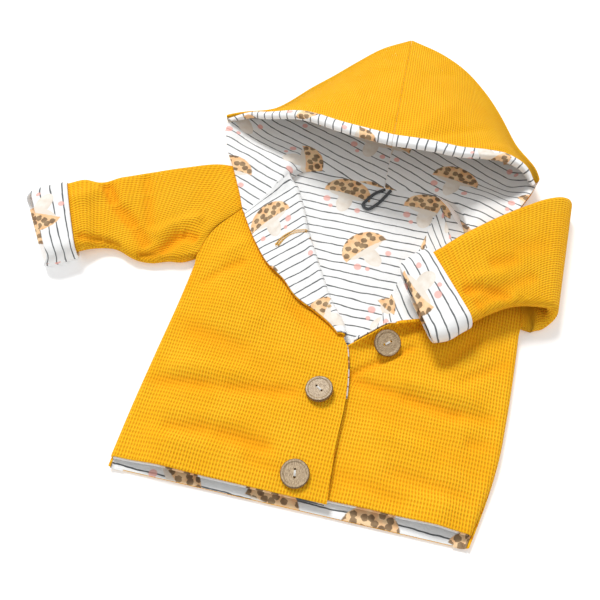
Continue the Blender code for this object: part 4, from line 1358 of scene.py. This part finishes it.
# %% Coconut buttons and their threads
def button_place(row):
    """Middle of a button and its three directions, as in the CAD source."""
    x, y, lean_x, lean_y, turn, below = row
    up = unit(np.array((lean_x, lean_y, 1.0)))
    seat = below or float(left_height(np.array([x]), np.array([y]))[0])
    lift = GAP + BUTTON_HEIGHT / 2 + (0 if below else BUTTON_RADIUS * np.hypot(lean_x, lean_y))
    level = np.array(Vector(up).to_track_quat("Z", "Y").to_matrix())
    first = level[:, 0] * np.cos(np.radians(turn)) + level[:, 1] * np.sin(np.radians(turn))
    return np.array((x, y, seat + lift)), first, np.cross(up, first), up


def coconut(name, middle, first, second):
    """Coconut shell: brown fibres in long flecks, a darker rim and a shallow dish."""
    made, shader = blank(name, {"Roughness": 0.45})
    place = Flow(made.node_tree, None).node("ShaderNodeTexCoord", {}, {}, "Object")
    away = place.vector("SUBTRACT", place, tuple(middle * MM))
    p, q = (away.vector("DOT_PRODUCT", away, tuple(way / MM), output="Value") for way in (first, second))
    flat = p.pair(q)
    radius = flat.vector("LENGTH", flat, output="Value")
    fleck = (p * 0.35).pair(q * 1.5).noise(1.0, 4.0)
    speck = flat.noise(1.7, 3.0)
    base = fleck.step(0.35, 0.68).colours((0.50, 0.37, 0.22, 1), (0.25, 0.16, 0.085, 1))
    base = (speck.step(0.5, 0.72) * 0.8).colours(base, (0.62, 0.50, 0.34, 1))
    rim = (radius + (speck - 0.5) * 1.0).step(10.5, 11.2)
    into(shader, "Base Color", (rim * 0.7).colours(base, (0.13, 0.075, 0.04, 1)))
    dish = radius.step(8.2, 9.6) - radius.step(10.6, 11.6) * 1.4
    into(shader, "Normal", (dish * 2.4 + fleck * 0.4).bump(0.0005, 0.8))
    into(shader, "Roughness", fleck * 0.25 + 0.35)
    return made


THREAD_RADIUS = 0.34
half_turn = np.linspace(0, np.pi, 24)[:, None]
for number, row in enumerate(BUTTONS, start=1):
    middle, first, second, up = button_place(row)
    for slot in bpy.data.objects[f"button_{number}"].material_slots:
        slot.material = coconut(f"coconut {number}", middle, first, second)
    across = first * (THREAD_HOLE_OUT - 0.7) * np.cos(half_turn)
    lift = up * (BUTTON_HEIGHT / 2 - 0.9 + 1.35 * np.sin(half_turn) ** 0.6)
    for turn, off in enumerate((-0.4, 0.4)):
        path = middle + across + lift + second * off
        strand(f"thread_{number}_{turn}", path, THREAD_RADIUS, WHITE_THREAD, around=8)
print("buttons sewn on:", len(BUTTONS))

# %% [markdown]
# ## Table, light and camera
#
# The photograph is a product shot on white: soft light from above and behind on the left, and a
# table so bright that it has no edge. A wide sun gives the soft shadows and the white world fills
# them. The camera stands 67 cm away, 60 degrees above the table and 14.5 degrees to the right.


# %% Stage
def table_top():
    """A wide white table, a little brighter than paper so that it burns out to white."""
    mesh = bpy.data.meshes.new("table_top")
    mesh.from_pydata([(-4, -4, 0), (4, -4, 0), (4, 4, 0), (-4, 4, 0)], [], [(0, 1, 2, 3)])
    finish = {"Base Color": (0.92, 0.92, 0.92, 1), "Roughness": 0.9, "Specular IOR Level": 0.1}
    glow = {"Emission Color": (1, 1, 1, 1), "Emission Strength": 0.22}
    mesh.materials.append(blank("white table", finish | glow)[0])
    placed("table_top", mesh)


table_top()
world = bpy.context.scene.world or bpy.data.worlds.new("studio")
bpy.context.scene.world = world
world.use_nodes = True
sky = world.node_tree.nodes["Background"]
sky.inputs["Color"].default_value = (1, 1, 1, 1)
sky.inputs["Strength"].default_value = 0.55
bpy.context.scene.view_settings.view_transform = "Standard"


def sun(name, direction, strength, angle):
    """A sun that shines along a direction; a wide angle softens its shadows."""
    light = bpy.data.lights.new(name, "SUN")
    light.energy = strength
    light.angle = angle
    lamp = placed(name, light)
    lamp.rotation_mode = "QUATERNION"
    lamp.rotation_quaternion = Vector(direction).to_track_quat("-Z", "Y")


sun("key", (0.42, -0.55, -0.88), 2.3, 0.3)
sun("fill", (-0.5, 0.4, -1.0), 0.25, 1.2)

camera_data = bpy.data.cameras.new("camera")
camera_data.lens = 45
camera_data.sensor_width = 36
camera = placed("camera", camera_data)
back_way = Vector((0.1252, -0.4841, 0.8660)).normalized()
camera.location = Vector((-0.042, 0.029, 0.0)) + back_way * 0.670
camera.rotation_mode = "QUATERNION"
camera.rotation_quaternion = (-back_way).to_track_quat("-Z", "Y")
bpy.context.scene.camera = camera
print("camera at", tuple(round(value, 3) for value in camera.location))

# %% [markdown] ## Finish
